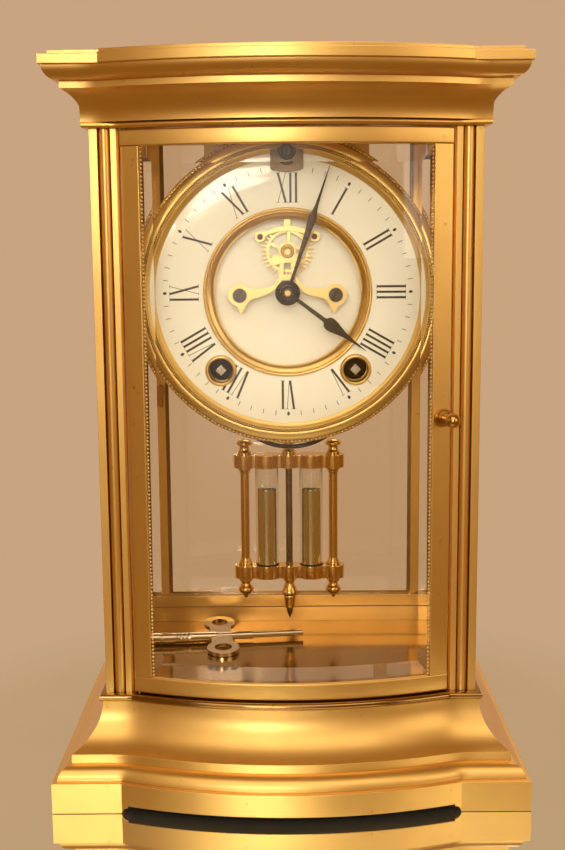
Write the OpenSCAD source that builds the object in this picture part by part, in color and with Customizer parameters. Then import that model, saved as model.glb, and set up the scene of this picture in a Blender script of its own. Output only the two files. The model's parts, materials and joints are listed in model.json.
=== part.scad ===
// Crystal regulator clock: a four-glass brass mantel clock with a bowed front door,
// a visible escapement in the dial, a two-jar pendulum and a coil gong.
// Millimetres, +Z up, the front faces -Y, the origin is under the middle of the base.

/* [Case] */
// Width over the four columns
case_w = 134; // [126:1:150]
// Depth over the four columns
case_d = 87; // [82:1:100]
// Height of the columns between the two plates
column_h = 200; // [192:1:230]
// Side of a column's square section
column_s = 10; // [9:0.5:12]
// Radius of the round bead that runs down each column face
column_bead_r = 2; // [1:0.1:2.1]
// How far the bowed front stands proud of the column line
bow_rise = 10; // [6:0.5:13]

/* [Base] */
// Height of the moulded base under the floor plate
base_h = 35.4; // [33:0.2:40]
// How far the plinth stands out beyond the columns
plinth_out = 17.7; // [16:0.1:20]
// Height of the plinth band
plinth_h = 11.3; // [9:0.1:12]
// Radius of the rounded moulding on the plinth
base_ovolo_r = 4.9; // [3:0.1:5.5]
// How far the square fillet of the base stands out
base_fillet_out = 11.3; // [10.5:0.1:12]
// Radius of the hollow moulding of the base
base_cove_r = 17.8; // [16:0.1:18.4]
// How far the base stands out right under the floor plate
base_neck_out = 1.2; // [0.6:0.1:2]
// Wall of the hollow base
base_wall = 4; // [3:0.1:5]
// Clear height under the apron between the feet
apron_lift = 3; // [2:0.1:4]
// Length of a corner foot along the front
foot_l = 24.7; // [20:0.1:28]
// Thickness of the polished floor plate
floor_t = 2.6; // [2:0.1:4]
// How far the floor plate and the top plate stand out
plate_out = 2.4; // [1.6:0.1:3.2]

/* [Cornice] */
// Thickness of the plate on top of the columns
top_plate_t = 2; // [1.5:0.1:3]
// Height of the moulded cornice
cornice_h = 22.3; // [20:0.1:26]
// How far the cornice slab stands out
slab_out = 13.8; // [12:0.1:16]
// Thickness of the cornice slab
slab_t = 3.3; // [2.5:0.1:4]
// Height of the low step on top of the slab
crown_step_h = 1.5; // [1:0.1:2]
// How far the low step stands back from the slab's edge
crown_step_in = 2.8; // [2:0.1:5]
// Radius of the hollow moulding of the cornice
cornice_cove_r = 11.5; // [10.5:0.1:12]
// How far the square fillet of the cornice stands out
cornice_fillet_out = 8; // [7:0.1:9]
// Radius of the rounded moulding under the slab
cornice_ovolo_r = 4.9; // [4:0.1:5.5]
// Half width of the cornice's bowed part
cornice_bow_half = 61; // [58:0.5:63]
// How far the cornice's bow steps out beyond the door's bow
cornice_bow_step = 2.5; // [1.5:0.1:3.5]

/* [Doors] */
// Thickness of the door frames
door_t = 4; // [3.5:0.1:4.5]
// Gap between a door and the columns
door_gap = 0.4; // [0.4:0.05:0.6]
// Width of the door stiles
stile_w = 6.5; // [6:0.1:8]
// Height of the upper door rails
top_rail_h = 5.6; // [5:0.1:8]
// Height of the lower door rails
bottom_rail_h = 6.2; // [5:0.1:8]
// Depth of the lip that holds the glass, seen from the front
lip_w = 1.4; // [1:0.1:2]
// Thickness of the lip that holds the glass
lip_t = 1.6; // [1.2:0.1:2]
// Radius of the hinge pins
pin_r = 0.8; // [0.6:0.05:0.9]
// Distance of the hinge pins from the door's outer edge and face
pin_inset = 1.6; // [1.5:0.05:1.8]
// Running clearance of pins, shafts and bores
run_gap = 0.04; // [0.02:0.01:0.08]
// Height of the door knobs above the ground
knob_z = 138.5; // [100:0.5:180]
// Radius of the round knob heads
knob_r = 2.6; // [2:0.1:3]
// Distance of the knob head from the door's face
knob_reach = 7.8; // [7:0.1:10]
// Length of the latch tongue behind the stile
tongue_l = 7; // [6.6:0.1:7.4]
// Height of the bars above and below the rear door
rear_bar_h = 6.2; // [4:0.1:8]

/* [Glass] */
// Thickness of the glass in its middle
glass_t = 3; // [2.6:0.1:3.4]
// Thickness of the glass at its ground edge
glass_edge_t = 2; // [1.6:0.1:2.2]
// Width of the ground bevel
bevel_w = 7.5; // [5:0.1:9]
// Depth of the grooves that hold the side glasses
groove_d = 2; // [1.5:0.1:2.5]
// Clearance of a glass in its seat
glass_gap = 0.2; // [0.1:0.05:0.3]

/* [Dial] */
// Drop of the dial's centre below the top plate
dial_drop = 56.5; // [54:0.5:60]
// Distance of the dial's white face in front of the case's middle
dial_fwd = 24; // [23.5:0.1:26]
// Radius of the visible white dial
dial_r = 47.5; // [46.5:0.1:48]
// Radius of the bezel's outer edge
bezel_r = 54.9; // [54:0.1:56]
// Thickness of the porcelain ring
dial_t = 2; // [1.5:0.1:2.2]
// Radius of the recessed dial centre
centre_r = 26.6; // [26:0.1:27]
// Width of the brass ring round the dial centre
centre_ring_w = 3.7; // [3:0.1:4]
// Side distance of a winding hole from the dial's centre
wind_x = 24.4; // [23.5:0.1:25]
// Drop of a winding hole below the dial's centre
wind_drop = 28.1; // [27:0.1:29]
// Radius of a winding hole
wind_hole_r = 4.35; // [4:0.05:4.6]
// Width of the brass rim round a winding hole
ferrule_w = 1.4; // [1:0.1:1.6]
// Height of the regulating arbor above the dial's centre
regulator_up = 48; // [47:0.1:49]

/* [Hands] */
// Length of the minute hand
minute_l = 47; // [40:0.5:48]
// Length of the hour hand
hour_l = 35; // [30:0.5:38]
// Thickness of the hands
hand_t = 0.8; // [0.6:0.1:1]
// Angle of the minute hand, clockwise from twelve
minute_angle = 18.7; // [0:0.1:360]
// Angle of the hour hand, clockwise from twelve
hour_angle = 127; // [0:0.1:360]

/* [Escapement] */
// Height of the escape wheel above the dial's centre
escape_up = 14.8; // [14:0.1:15.5]
// Number of teeth of the escape wheel
escape_n = 36; // [30:1:40]
// Radius of the escape wheel over its teeth
escape_r = 9.7; // [9:0.1:10]
// Distance of the pallets from the escape wheel's centre
pallet_d = 11; // [10.9:0.1:11.5]
// Radius of a pallet stone
pallet_r = 1.05; // [0.8:0.05:1.1]
// Distance of the anchor's arbor above the escape wheel
anchor_up = 22; // [21:0.1:23]
// Side distance of the bridge's feet
bridge_foot_x = 17.3; // [16:0.1:18]

/* [Movement] */
// Radius of the movement plates
plate_r = 41; // [40:0.5:43]
// Thickness of the movement plates
plate_t = 1.8; // [1.5:0.1:2.2]
// Distance of the front plate's front from the case's middle
front_plate_fwd = 13; // [12.5:0.1:13.2]
// Distance between the plates
plate_gap = 23.2; // [22:0.1:24]
// Radius of the mainspring barrels
barrel_r = 16.2; // [14:0.1:17]
// Teeth of a barrel's great wheel
great_n = 80; // [76:1:80]
// Tooth module of the great wheels
great_m = 0.46; // [0.44:0.01:0.46]
// Turns of the coil gong
gong_turns = 5; // [4:1:6]
// Radius of the gong's outer turn
gong_r = 27.5; // [25:0.5:28]
// Radius of the gong's wire
gong_wire_r = 0.9; // [0.7:0.05:1]
// Drop of the gong's centre below the dial's centre
gong_drop = 39; // [35.5:0.5:39.5]

/* [Pendulum] */
// Distance of the pendulum behind the case's middle
pendulum_back = 28; // [27:0.1:29]
// Height of the pendulum's pointed tip above the ground
pendulum_tip_z = 42.9; // [42:0.1:46]
// Width over the pendulum's cross bars
bar_w = 45.6; // [42:0.1:48]
// Height of the pendulum's upper bar above the ground
upper_bar_z = 107.7; // [104:0.1:112]
// Height of the pendulum's lower bar above the ground
lower_bar_z = 61; // [59:0.1:66]
// Height of each cross bar
bar_h = 5.4; // [4:0.1:6]
// Radius of the jars
jar_r = 4.75; // [4:0.05:5]
// Level of the quicksilver in the jars, above the lower bar
quicksilver_h = 33; // [20:0.5:36]
// Radius of the pendulum's steel rod
rod_r = 1.4; // [1:0.1:1.6]

/* [Key] */
// Radius of the key's large barrel
key_r = 2.4; // [2:0.1:2.8]
// Length of the key's large barrel
key_barrel_l = 26; // [18:0.5:28]
// Length of the key's small end
key_stem_l = 20.5; // [18:0.5:25]
// Outer radius of the key's wing loops
key_loop_r = 6.4; // [5:0.1:7]

/* [Hidden] */

// Places that follow from the sizes above
case_y = bow_rise / 2;
half_w = case_w / 2;
half_d = case_d / 2;
opening_half = half_w - column_s;
bow_r = (opening_half * opening_half + bow_rise * bow_rise) / (2 * bow_rise);
bow_cy = bow_r - bow_rise - half_d;
bow_sweep = asin(half_w / bow_r) + 1;
floor_z = base_h + floor_t;
column_top_z = floor_z + column_h;
cornice_z = column_top_z + top_plate_t;
dial_z = column_top_z - dial_drop;
fine = 96;

// Doors
door_half = opening_half - door_gap;
front_z0 = floor_z + door_gap;
front_z1 = column_top_z - door_gap;
rear_z0 = floor_z + rear_bar_h + door_gap;
rear_z1 = column_top_z - door_gap;
door_in_r = bow_r - door_t;
lip_r = bow_r - lip_t;
pin_x = door_half - pin_inset;
pin_ring_r = bow_r - pin_inset;
front_pin_y = bow_cy - sqrt(pin_ring_r * pin_ring_r - pin_x * pin_x);
front_pin_turn = asin(pin_x / pin_ring_r);
rear_pin_y = half_d - pin_inset;
pin_bite = 4.5;
pin_seat = 1.8;
knob_x = door_half - stile_w / 2 + 0.5;
knob_turn = asin(knob_x / bow_r);
knob_y = bow_cy - sqrt(bow_r * bow_r - knob_x * knob_x);
latch_shaft_r = 1.1;
tongue_gap = 0.45;
tongue_t = 1.2;
tongue_w = 3;
column_chamfer = 0.8;
pane_half = door_half - stile_w + lip_w - glass_gap;
bevel_slope = (glass_t - glass_edge_t) / bevel_w;
pane_seat = 0.1 + bevel_slope * lip_w;

// Levels in front of the case's middle, from the movement to the hands
wheel_t = 0.9;
back_plate_fwd = front_plate_fwd - plate_t - plate_gap;
plate_back_face = back_plate_fwd - plate_t;
minute_level = front_plate_fwd + 0.3;
hour_level = minute_level + wheel_t + 0.45;
pan_level = hour_level + wheel_t + 0.6;
pan_t = 1;
pan_front = pan_level + pan_t;
centre_dial_t = 1.1;
centre_face = pan_front + centre_dial_t;
escape_level = centre_face + 0.7;
escape_t = 0.8;
anchor_level = escape_level + escape_t + 0.55;
anchor_t = 0.9;
bridge_level = anchor_level + anchor_t + 0.6;
bridge_t = 1.2;
collet_lift = 0.2;
hour_hand_level = dial_fwd + 1.6;
minute_hand_level = hour_hand_level + hand_t + 1;
skirt_r = dial_r + 2;
skirt_t = 1.5;
regulator_r = 1.1;
bridge_drop = 15.8;
bridge_screw_r = 1.2;

// The two pallets span a whole number of teeth and a half
tooth_step = 360 / escape_n;
pallet_angle = tooth_step / 2 * (round(125 / tooth_step - 0.5) + 0.5);
pallet_at = pallet_d * [sin(pallet_angle), cos(pallet_angle)];
escape_phase = 90 + pallet_angle + 0.46 * tooth_step;

// Arbors of the movement, from the dial's centre
centre_arbor_r = 1;
cannon_r = 1.9;
hour_tube_r = 2.8;
fine_arbor_r = 0.6;
anchor_arbor_r = 0.9;
wind_arbor_r = 2.4;
anchor_at = [0, escape_up + anchor_up];
escape_at = [0, escape_up];
time_at = [wind_x, -wind_drop];
strike_at = [-wind_x, -wind_drop];
great_r = great_n * great_m / 2;
train_pinion_n = 12;
train_pinion_r = train_pinion_n * great_m / 2;
inter_n = 76;
inter_m = 0.40;
centre_pinion_n = 10;
centre_n = 80;
centre_m = 0.33;
third_n = 80;
third_m = 0.30;
fine_pinion_n = 7;
inter_at = meet(time_at, [0, 0], great_r + train_pinion_r, (inter_n + centre_pinion_n) * inter_m / 2, 1);
third_at = meet([0, 0], escape_at, (centre_n + fine_pinion_n) * centre_m / 2,
                (third_n + fine_pinion_n) * third_m / 2, -1);
second_n = 60;
second_m = 0.38;
pin_pinion_n = 8;
pin_wheel_n = 50;
pin_wheel_m = 0.36;
second_at = strike_at + (great_r + train_pinion_r) * heading(100);
pin_wheel_at = second_at + (second_n + pin_pinion_n) * second_m / 2 * heading(60);
fly_at = pin_wheel_at + (pin_wheel_n + fine_pinion_n) * pin_wheel_m / 2 * heading(90);
hammer_at = [-32, 10];
cannon_n = 12;
cannon_m = 0.5;
minute_n = 36;
minute_pinion_n = 10;
hour_n = 40;
motion_d = (cannon_n + minute_n) * cannon_m / 2;
hour_m = 2 * motion_d / (minute_pinion_n + hour_n);
minute_turn = 205;
minute_at = motion_d * heading(minute_turn);
pivots = [
  [[0, 0], centre_arbor_r], [inter_at, fine_arbor_r], [third_at, fine_arbor_r], [escape_at, fine_arbor_r],
  [anchor_at, anchor_arbor_r], [time_at, wind_arbor_r], [strike_at, wind_arbor_r], [second_at, fine_arbor_r],
  [pin_wheel_at, fine_arbor_r], [fly_at, fine_arbor_r], [hammer_at, anchor_arbor_r]
];
pillars = [[33, 20], [-33, 20], [0, -36], [38, -8], [-37, 4]];
pillar_r = 2.2;
ratchet_r = 6.5;
great_t = 2;
strap_x = 27;
strap_w = 6;
strap_t = 2;

// Pendulum and gong
pivot_z = dial_z + escape_up + anchor_up;
pillar_x = bar_w / 2 - 4.6;
jar_x = 9.1;
jar_wall = 0.9;
bar_depth = 11;
jar_seat = 1;
nut_z = lower_bar_z - 7.5;
suspension_pin_r = 1;
cock_fore = 5;
cock_aft = 4;
cock_low = 3;
cock_rise = 7.7;
gong_fwd = plate_back_face - 4.2;
gong_inner_r = 6.5;
gong_pitch = (gong_r - gong_inner_r) / gong_turns;
gong_lead = 2 * gong_wire_r;

// Where the key lies on the floor
key_x = -28;
key_y = 12.9;
key_turn = 6.5;

function heading(a) = [cos(a), sin(a)];
function meet(a, b, ra, rb, side) =
  let (d = norm(b - a),
       along = (d * d + ra * ra - rb * rb) / (2 * d),
       off = sqrt(ra * ra - along * along),
       u = (b - a) / d)
  a + along * u + side * off * [-u[1], u[0]];
function bearing(a, b) = atan2(b[1] - a[1], b[0] - a[0]);

// Shared shapes

module placed() {
  translate([0, case_y, 0]) children();
}

module flip_x(on) {
  if (on) mirror([1, 0, 0]) children();
  else children();
}

module flip_y(on) {
  if (on) mirror([0, 1, 0]) children();
  else children();
}

// The dial's own frame: x to the right, y up, z towards the viewer
module at_dial() {
  placed() translate([0, 0, dial_z]) rotate([90, 0, 0]) children();
}

// Outline of the case in plan, grown by an offset
module plan(offset_out) {
  clip = half_w + min(0, offset_out);
  square([case_w + 2 * offset_out, case_d + 2 * offset_out], center = true);
  intersection() {
    translate([0, bow_cy]) circle(r = bow_r + offset_out, $fn = fine);
    translate([-clip, -case_d]) square([2 * clip, case_d]);
  }
}

// Half section of the base above the plinth band, from its middle out to the moulding
module base_profile(half) {
  ovolo_foot = half + base_fillet_out - 0.3;
  bite = 0.3;
  intersection() {
    translate([ovolo_foot, plinth_h]) circle(r = base_ovolo_r, $fn = fine);
    translate([0, plinth_h - bite]) square([half + plinth_out, base_ovolo_r + bite]);
  }
  difference() {
    square([half + base_fillet_out, base_h]);
    translate([half + base_neck_out + base_cove_r, base_h]) circle(r = base_cove_r, $fn = fine);
  }
}

// Half section of the cornice, from its middle out to the moulding
module cornice_profile(half) {
  slab_z = cornice_h - crown_step_h - slab_t;
  difference() {
    square([half + cornice_fillet_out, slab_z]);
    translate([half + base_neck_out + cornice_cove_r, 0]) circle(r = cornice_cove_r, $fn = fine);
  }
  intersection() {
    translate([half + cornice_fillet_out, slab_z]) circle(r = cornice_ovolo_r, $fn = fine);
    translate([0, slab_z - cornice_ovolo_r]) square([half + slab_out, cornice_ovolo_r]);
  }
  translate([0, slab_z]) square([half + slab_out, slab_t]);
  translate([0, slab_z + slab_t]) square([half + slab_out - crown_step_in, crown_step_h]);
}

module profile(kind, half) {
  if (kind == "base") base_profile(half);
  else cornice_profile(half);
}

module both_sides(kind, half) {
  profile(kind, half);
  mirror([1, 0]) profile(kind, half);
}

// A moulding that runs round the case, mitred at the corners and bowed in front
module moulding(kind, bow_half, bow_step) {
  reach = 2 * (half_w + plinth_out + slab_out);
  tall = base_h + cornice_h;
  intersection() {
    rotate([90, 0, 90]) linear_extrude(height = reach, center = true) both_sides(kind, half_d);
    rotate([90, 0, 0]) linear_extrude(height = reach, center = true) both_sides(kind, half_w);
  }
  intersection() {
    translate([0, bow_cy, 0]) rotate([0, 0, -90 - bow_sweep])
      rotate_extrude(angle = 2 * bow_sweep, $fn = 2 * fine) difference() {
        profile(kind, bow_r + bow_step);
        square([bow_r - half_d / 2, tall]);
      }
    translate([-bow_half, -reach, 0]) cube([2 * bow_half, reach, tall]);
  }
}

// A piece of the bowed door between two radii and two heights
module bow_ring(r0, r1, z0, z1) {
  translate([0, bow_cy, z0]) rotate([0, 0, -90 - bow_sweep])
    rotate_extrude(angle = 2 * bow_sweep, $fn = 2 * fine) translate([r0, 0]) square([r1 - r0, z1 - z0]);
}

module between_x(x0, x1) {
  intersection() {
    children();
    translate([x0, -case_w, 0]) cube([x1 - x0, 2 * case_w, 2 * column_top_z]);
  }
}

// The corner outside the hinge pin, cut away so that the door can turn
module hinge_corner(turn) {
  far = 4 * pin_inset;
  translate([0, 0, floor_z]) linear_extrude(height = column_h) difference() {
    polygon([[0, 0], [-far, 0], [-far, -far], far * [-sin(turn), -cos(turn)]]);
    circle(r = pin_inset, $fn = fine);
  }
}

module at_front_pin() {
  translate([-pin_x, front_pin_y, 0]) children();
}

module at_rear_pin() {
  translate([pin_x, rear_pin_y, 0]) rotate([0, 0, 180]) children();
}

// The knob's own frame: the door's face is y = 0 and -y points out of the door
module at_front_knob() {
  translate([knob_x, knob_y, knob_z]) rotate([0, 0, knob_turn]) children();
}

module at_rear_knob() {
  translate([-knob_x, half_d, knob_z]) rotate([0, 0, 180]) children();
}

// Knob, shaft and tongue of a door latch
module latch() {
  flange_r = 3.2;
  flange_t = 0.9;
  neck_r = 1.5;
  hub_r = 2.4;
  tongue_y = door_t + tongue_gap;
  rotate([90, 0, 0]) {
    translate([0, 0, 0.05]) rotate_extrude($fn = fine) {
      square([flange_r, flange_t]);
      square([flange_r - 1, flange_t + 0.7]);
      square([neck_r, knob_reach]);
    }
    translate([0, 0, knob_reach]) sphere(r = knob_r, $fn = 48);
    translate([0, 0, -tongue_y - tongue_t]) {
      cylinder(r = latch_shaft_r, h = tongue_y + tongue_t + 1, $fn = 48);
      cylinder(r = hub_r, h = tongue_t, $fn = 48);
    }
  }
  translate([-tongue_w / 2, tongue_y, -tongue_l]) cube([tongue_w, tongue_t, tongue_l]);
}

// The space in a column that the turning tongue needs
module latch_slot() {
  room = 0.45;
  translate([tongue_w, door_t + tongue_gap - room, -tongue_l - room])
    cube([tongue_l, tongue_t + 2 * room, tongue_l + tongue_w / 2 + 2 * room]);
}

module latch_bore() {
  rotate([90, 0, 0]) cylinder(r = latch_shaft_r + run_gap, h = 6 * door_t, center = true, $fn = 48);
}

// Section of a ground glass pane: its back on 0, its bevels towards the outside
function pane_points(width) =
  let (edge = width / 2, field = edge - bevel_w)
  [[-edge, 0], [edge, 0], [edge, -glass_edge_t],
   [field, -glass_t], [-field, -glass_t], [-edge, -glass_edge_t]];

module flat_pane(width, tall) {
  intersection() {
    linear_extrude(height = tall) polygon(pane_points(width));
    translate([0, 0, tall / 2]) rotate([90, 0, 90]) linear_extrude(height = width, center = true)
      polygon([for (p = pane_points(tall)) [p[1], p[0]]]);
  }
}

// A spur wheel: straight-sided teeth round a rim, one tooth pointing along +x
module spur(n, m) {
  root_r = n * m / 2 - 1.2 * m;
  tip_r = n * m / 2 + 0.9 * m;
  step = 360 / n;
  polygon([for (i = [0 : n - 1])
    each [root_r * heading((i - 0.27) * step), tip_r * heading((i - 0.1) * step),
          tip_r * heading((i + 0.1) * step), root_r * heading((i + 0.27) * step)]]);
}

// A crossed-out wheel: a toothed rim, a hub and its arms
module crossed_wheel(n, m, rim, hub_r, arms) {
  inner_r = n * m / 2 - 1.2 * m - rim;
  arm_w = rim * 1.1;
  difference() {
    spur(n, m);
    circle(r = inner_r, $fn = fine);
  }
  circle(r = hub_r, $fn = 48);
  for (i = [0 : arms - 1])
    rotate(i * 360 / arms) translate([0, -arm_w / 2]) square([inner_r + rim / 2, arm_w]);
}

module arbor(r, from, to) {
  translate([0, 0, from]) cylinder(r = r, h = to - from, $fn = 32);
}

module at(p) {
  translate([p[0], p[1], 0]) children();
}

// Case

module base_plinth() {
  foot_in = half_w + plinth_out - foot_l;
  side_foot_in = half_d + plinth_out - foot_l;
  foot_round = 0.75 * apron_lift;
  step_z = plinth_h + base_ovolo_r;
  color("goldenrod") placed() difference() {
    union() {
      linear_extrude(height = plinth_h) plan(plinth_out);
      moulding("base", half_w, 0);
    }
    translate([0, 0, -1]) linear_extrude(height = step_z + 1) plan(base_fillet_out - base_wall);
    linear_extrude(height = base_h - base_wall / 2) plan(base_neck_out - base_wall);
    rotate([90, 0, 0]) linear_extrude(height = 4 * case_d, center = true) apron_cut(foot_in, foot_round);
    rotate([90, 0, 90]) linear_extrude(height = 4 * case_w, center = true)
      apron_cut(side_foot_in, foot_round);
  }
}

// Opening between two feet: full height in the middle, a low round end at each foot
module apron_cut(foot_in, foot_round) {
  flat_half = foot_in - foot_round;
  translate([-flat_half, -1]) square([2 * flat_half, apron_lift + 1]);
  for (side = [-1, 1]) translate([side * flat_half, 0]) circle(r = foot_round, $fn = 48);
}

module floor_plate() {
  color("goldenrod") placed() difference() {
    translate([0, 0, base_h]) linear_extrude(height = floor_t) plan(plate_out);
    at_front_pin() translate([0, 0, floor_z - pin_seat]) cylinder(r = pin_r + run_gap, h = floor_t, $fn = 48);
  }
}

module top_pin_seat(deep) {
  translate([0, 0, column_top_z - 1]) cylinder(r = pin_r + run_gap, h = deep + 1, $fn = 48);
}

module top_plate() {
  seat = top_plate_t / 2;
  color("goldenrod") placed() difference() {
    translate([0, 0, column_top_z]) linear_extrude(height = top_plate_t) plan(plate_out);
    at_front_pin() top_pin_seat(seat);
    at_rear_pin() top_pin_seat(seat);
  }
}

module cornice() {
  roof = crown_step_h + slab_t;
  color("goldenrod") placed() translate([0, 0, cornice_z]) difference() {
    moulding("cornice", cornice_bow_half, cornice_bow_step);
    translate([0, 0, -1]) linear_extrude(height = cornice_h - roof + 1) plan(base_neck_out - base_wall);
  }
}

// Section of a column with its outer corner at the origin: a round bead on each outer face
module column_section() {
  flute_w = 2 * column_bead_r + 0.4;
  groove_out = glass_edge_t / 2 + glass_gap + bevel_slope * groove_d;
  groove_in = glass_edge_t / 2 + glass_gap;
  middle = column_s / 2;
  difference() {
    square(column_s);
    translate([middle - flute_w / 2, -1]) square([flute_w, 1 + column_bead_r]);
    translate([-1, middle - flute_w / 2]) square([1 + column_bead_r, flute_w]);
    translate([middle - groove_out, column_s - groove_d]) square([groove_out + groove_in, groove_d + 1]);
    translate([column_s, 0]) rotate(45) square(column_chamfer * sqrt(2), center = true);
  }
  translate([middle, column_bead_r]) circle(r = column_bead_r, $fn = 48);
  translate([column_bead_r, middle]) circle(r = column_bead_r, $fn = 48);
}

module column(right, rear) {
  flip_x(right) flip_y(rear) translate([-half_w, -half_d, floor_z])
    linear_extrude(height = column_h) column_section();
}

module front_left_column() {
  color("gold") placed() column(false, false);
}

module front_right_column() {
  color("gold") placed() difference() {
    column(true, false);
    at_front_knob() latch_slot();
  }
}

module rear_left_column() {
  color("gold") placed() difference() {
    column(false, true);
    at_rear_knob() latch_slot();
  }
}

module rear_right_column() {
  color("gold") placed() column(true, true);
}

module side_pane() {
  pane_w = case_d - 2 * column_s + 2 * (groove_d - glass_gap);
  pane_h = column_h - 2 * glass_gap;
  translate([-half_w + column_s / 2 + glass_edge_t / 2, 0, floor_z + glass_gap]) rotate([0, 0, -90])
    flat_pane(pane_w, pane_h);
}

module left_glass() {
  color("lightcyan", 0.4) placed() side_pane();
}

module right_glass() {
  color("lightcyan", 0.4) placed() mirror([1, 0, 0]) side_pane();
}

// Fixed bar below the rear door
module rear_crossbar() {
  color("goldenrod") placed() difference() {
    translate([-opening_half, half_d - door_t, floor_z]) cube([2 * opening_half, door_t, rear_bar_h]);
    at_rear_pin() translate([0, 0, floor_z + rear_bar_h - pin_seat])
      cylinder(r = pin_r + run_gap, h = pin_seat + 1, $fn = 48);
  }
}

// A door's two pins: the lower one stands in what is below the door, the upper one in the top plate
module pin_pair(low, high) {
  top_end = column_top_z + top_plate_t / 2 - 0.2;
  translate([0, 0, low - pin_seat + 0.1]) cylinder(r = pin_r, h = pin_seat + pin_bite, $fn = 48);
  translate([0, 0, high - pin_bite]) cylinder(r = pin_r, h = top_end - high + pin_bite, $fn = 48);
}

module hinge_pins() {
  color("darkgoldenrod") placed() {
    at_front_pin() pin_pair(floor_z, front_z1);
    at_rear_pin() pin_pair(floor_z + rear_bar_h, rear_z1);
  }
}

// Front door

module front_pin_bores() {
  bore_h = pin_bite + 1;
  at_front_pin() {
    translate([0, 0, front_z0 - 1]) cylinder(r = pin_r + run_gap, h = bore_h + 1, $fn = 48);
    translate([0, 0, front_z1 - bore_h]) cylinder(r = pin_r + run_gap, h = bore_h + 1, $fn = 48);
  }
}

// A rail of the bowed door; its back is cut low for the glass
module front_rail(z0, z1, back_z0, back_z1) {
  difference() {
    between_x(-door_half, door_half) {
      bow_ring(lip_r, bow_r, z0, z1);
      bow_ring(door_in_r, lip_r + 0.01, back_z0, back_z1);
    }
    at_front_pin() hinge_corner(front_pin_turn);
    front_pin_bores();
  }
}

module front_top_rail() {
  edge = front_z1 - top_rail_h;
  color("gold") placed() front_rail(edge, front_z1, edge + lip_w, front_z1);
}

module front_bottom_rail() {
  edge = front_z0 + bottom_rail_h;
  color("gold") placed() front_rail(front_z0, edge, front_z0, edge - lip_w);
}

module front_stile(right) {
  z0 = front_z0 + bottom_rail_h;
  z1 = front_z1 - top_rail_h;
  inner = door_half - stile_w;
  flip_x(!right) {
    between_x(inner, door_half) bow_ring(lip_r, bow_r, z0, z1);
    between_x(inner + lip_w, door_half) bow_ring(door_in_r, lip_r + 0.01, z0, z1);
  }
}

module front_left_stile() {
  color("gold") placed() difference() {
    front_stile(false);
    at_front_pin() hinge_corner(front_pin_turn);
  }
}

module front_right_stile() {
  color("gold") placed() difference() {
    front_stile(true);
    at_front_knob() latch_bore();
  }
}

// Bowed glass with ground bevels on all four edges
module front_glass() {
  r_in = lip_r - pane_seat - glass_edge_t;
  z0 = front_z0 + bottom_rail_h - lip_w + glass_gap;
  z1 = front_z1 - top_rail_h + lip_w - glass_gap;
  edge_r = r_in + glass_edge_t;
  face_r = r_in + glass_t;
  field_x = pane_half - bevel_w;
  edge_y = bow_cy - sqrt(edge_r * edge_r - pane_half * pane_half);
  field_y = bow_cy - sqrt(face_r * face_r - field_x * field_x);
  clear = 3 * glass_t;
  color("lightcyan", 0.4) placed() difference() {
    between_x(-pane_half, pane_half)
      translate([0, bow_cy, 0]) rotate([0, 0, -90 - bow_sweep])
        rotate_extrude(angle = 2 * bow_sweep, $fn = 2 * fine)
          polygon([[r_in, z0], [edge_r, z0], [face_r, z0 + bevel_w],
                   [face_r, z1 - bevel_w], [edge_r, z1], [r_in, z1]]);
    for (side = [0, 1]) mirror([side, 0, 0]) linear_extrude(height = column_top_z)
      polygon([[field_x, field_y], [pane_half, edge_y], [pane_half + clear, edge_y],
               [pane_half + clear, field_y - clear], [field_x, field_y - clear]]);
  }
}

module front_latch() {
  color("gold") placed() at_front_knob() latch();
}

// Rear door

module rear_slab(x0, x1, z0, z1, y0, y1) {
  translate([x0, y0, z0]) cube([x1 - x0, y1 - y0, z1 - z0]);
}

module rear_rails() {
  inner_y = half_d - door_t;
  lip_y = half_d - lip_t;
  low = rear_z0 + bottom_rail_h;
  high = rear_z1 - top_rail_h;
  bore_h = pin_bite + 1;
  color("goldenrod") placed() difference() {
    union() {
      rear_slab(-door_half, door_half, rear_z0, low, lip_y, half_d);
      rear_slab(-door_half, door_half, rear_z0, low - lip_w, inner_y, lip_y);
      rear_slab(-door_half, door_half, high, rear_z1, lip_y, half_d);
      rear_slab(-door_half, door_half, high + lip_w, rear_z1, inner_y, lip_y);
    }
    at_rear_pin() {
      hinge_corner(0);
      translate([0, 0, rear_z0 - 1]) cylinder(r = pin_r + run_gap, h = bore_h + 1, $fn = 48);
      translate([0, 0, rear_z1 - bore_h]) cylinder(r = pin_r + run_gap, h = bore_h + 1, $fn = 48);
    }
  }
}

module rear_stiles() {
  inner_y = half_d - door_t;
  lip_y = half_d - lip_t;
  inner = door_half - stile_w;
  low = rear_z0 + bottom_rail_h;
  high = rear_z1 - top_rail_h;
  color("goldenrod") placed() difference() {
    for (side = [0, 1]) mirror([side, 0, 0]) {
      rear_slab(inner, door_half, low, high, lip_y, half_d);
      rear_slab(inner + lip_w, door_half, low, high, inner_y, lip_y);
    }
    at_rear_pin() hinge_corner(0);
    at_rear_knob() latch_bore();
  }
}

module rear_glass() {
  low = rear_z0 + bottom_rail_h - lip_w + glass_gap;
  high = rear_z1 - top_rail_h + lip_w - glass_gap;
  pane_y = half_d - lip_t - pane_seat - glass_edge_t;
  color("lightcyan", 0.4) placed() translate([0, pane_y, low]) rotate([0, 0, 180])
    flat_pane(2 * pane_half, high - low);
}

module rear_latch() {
  color("gold") placed() at_rear_knob() latch();
}

// Dial

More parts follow.
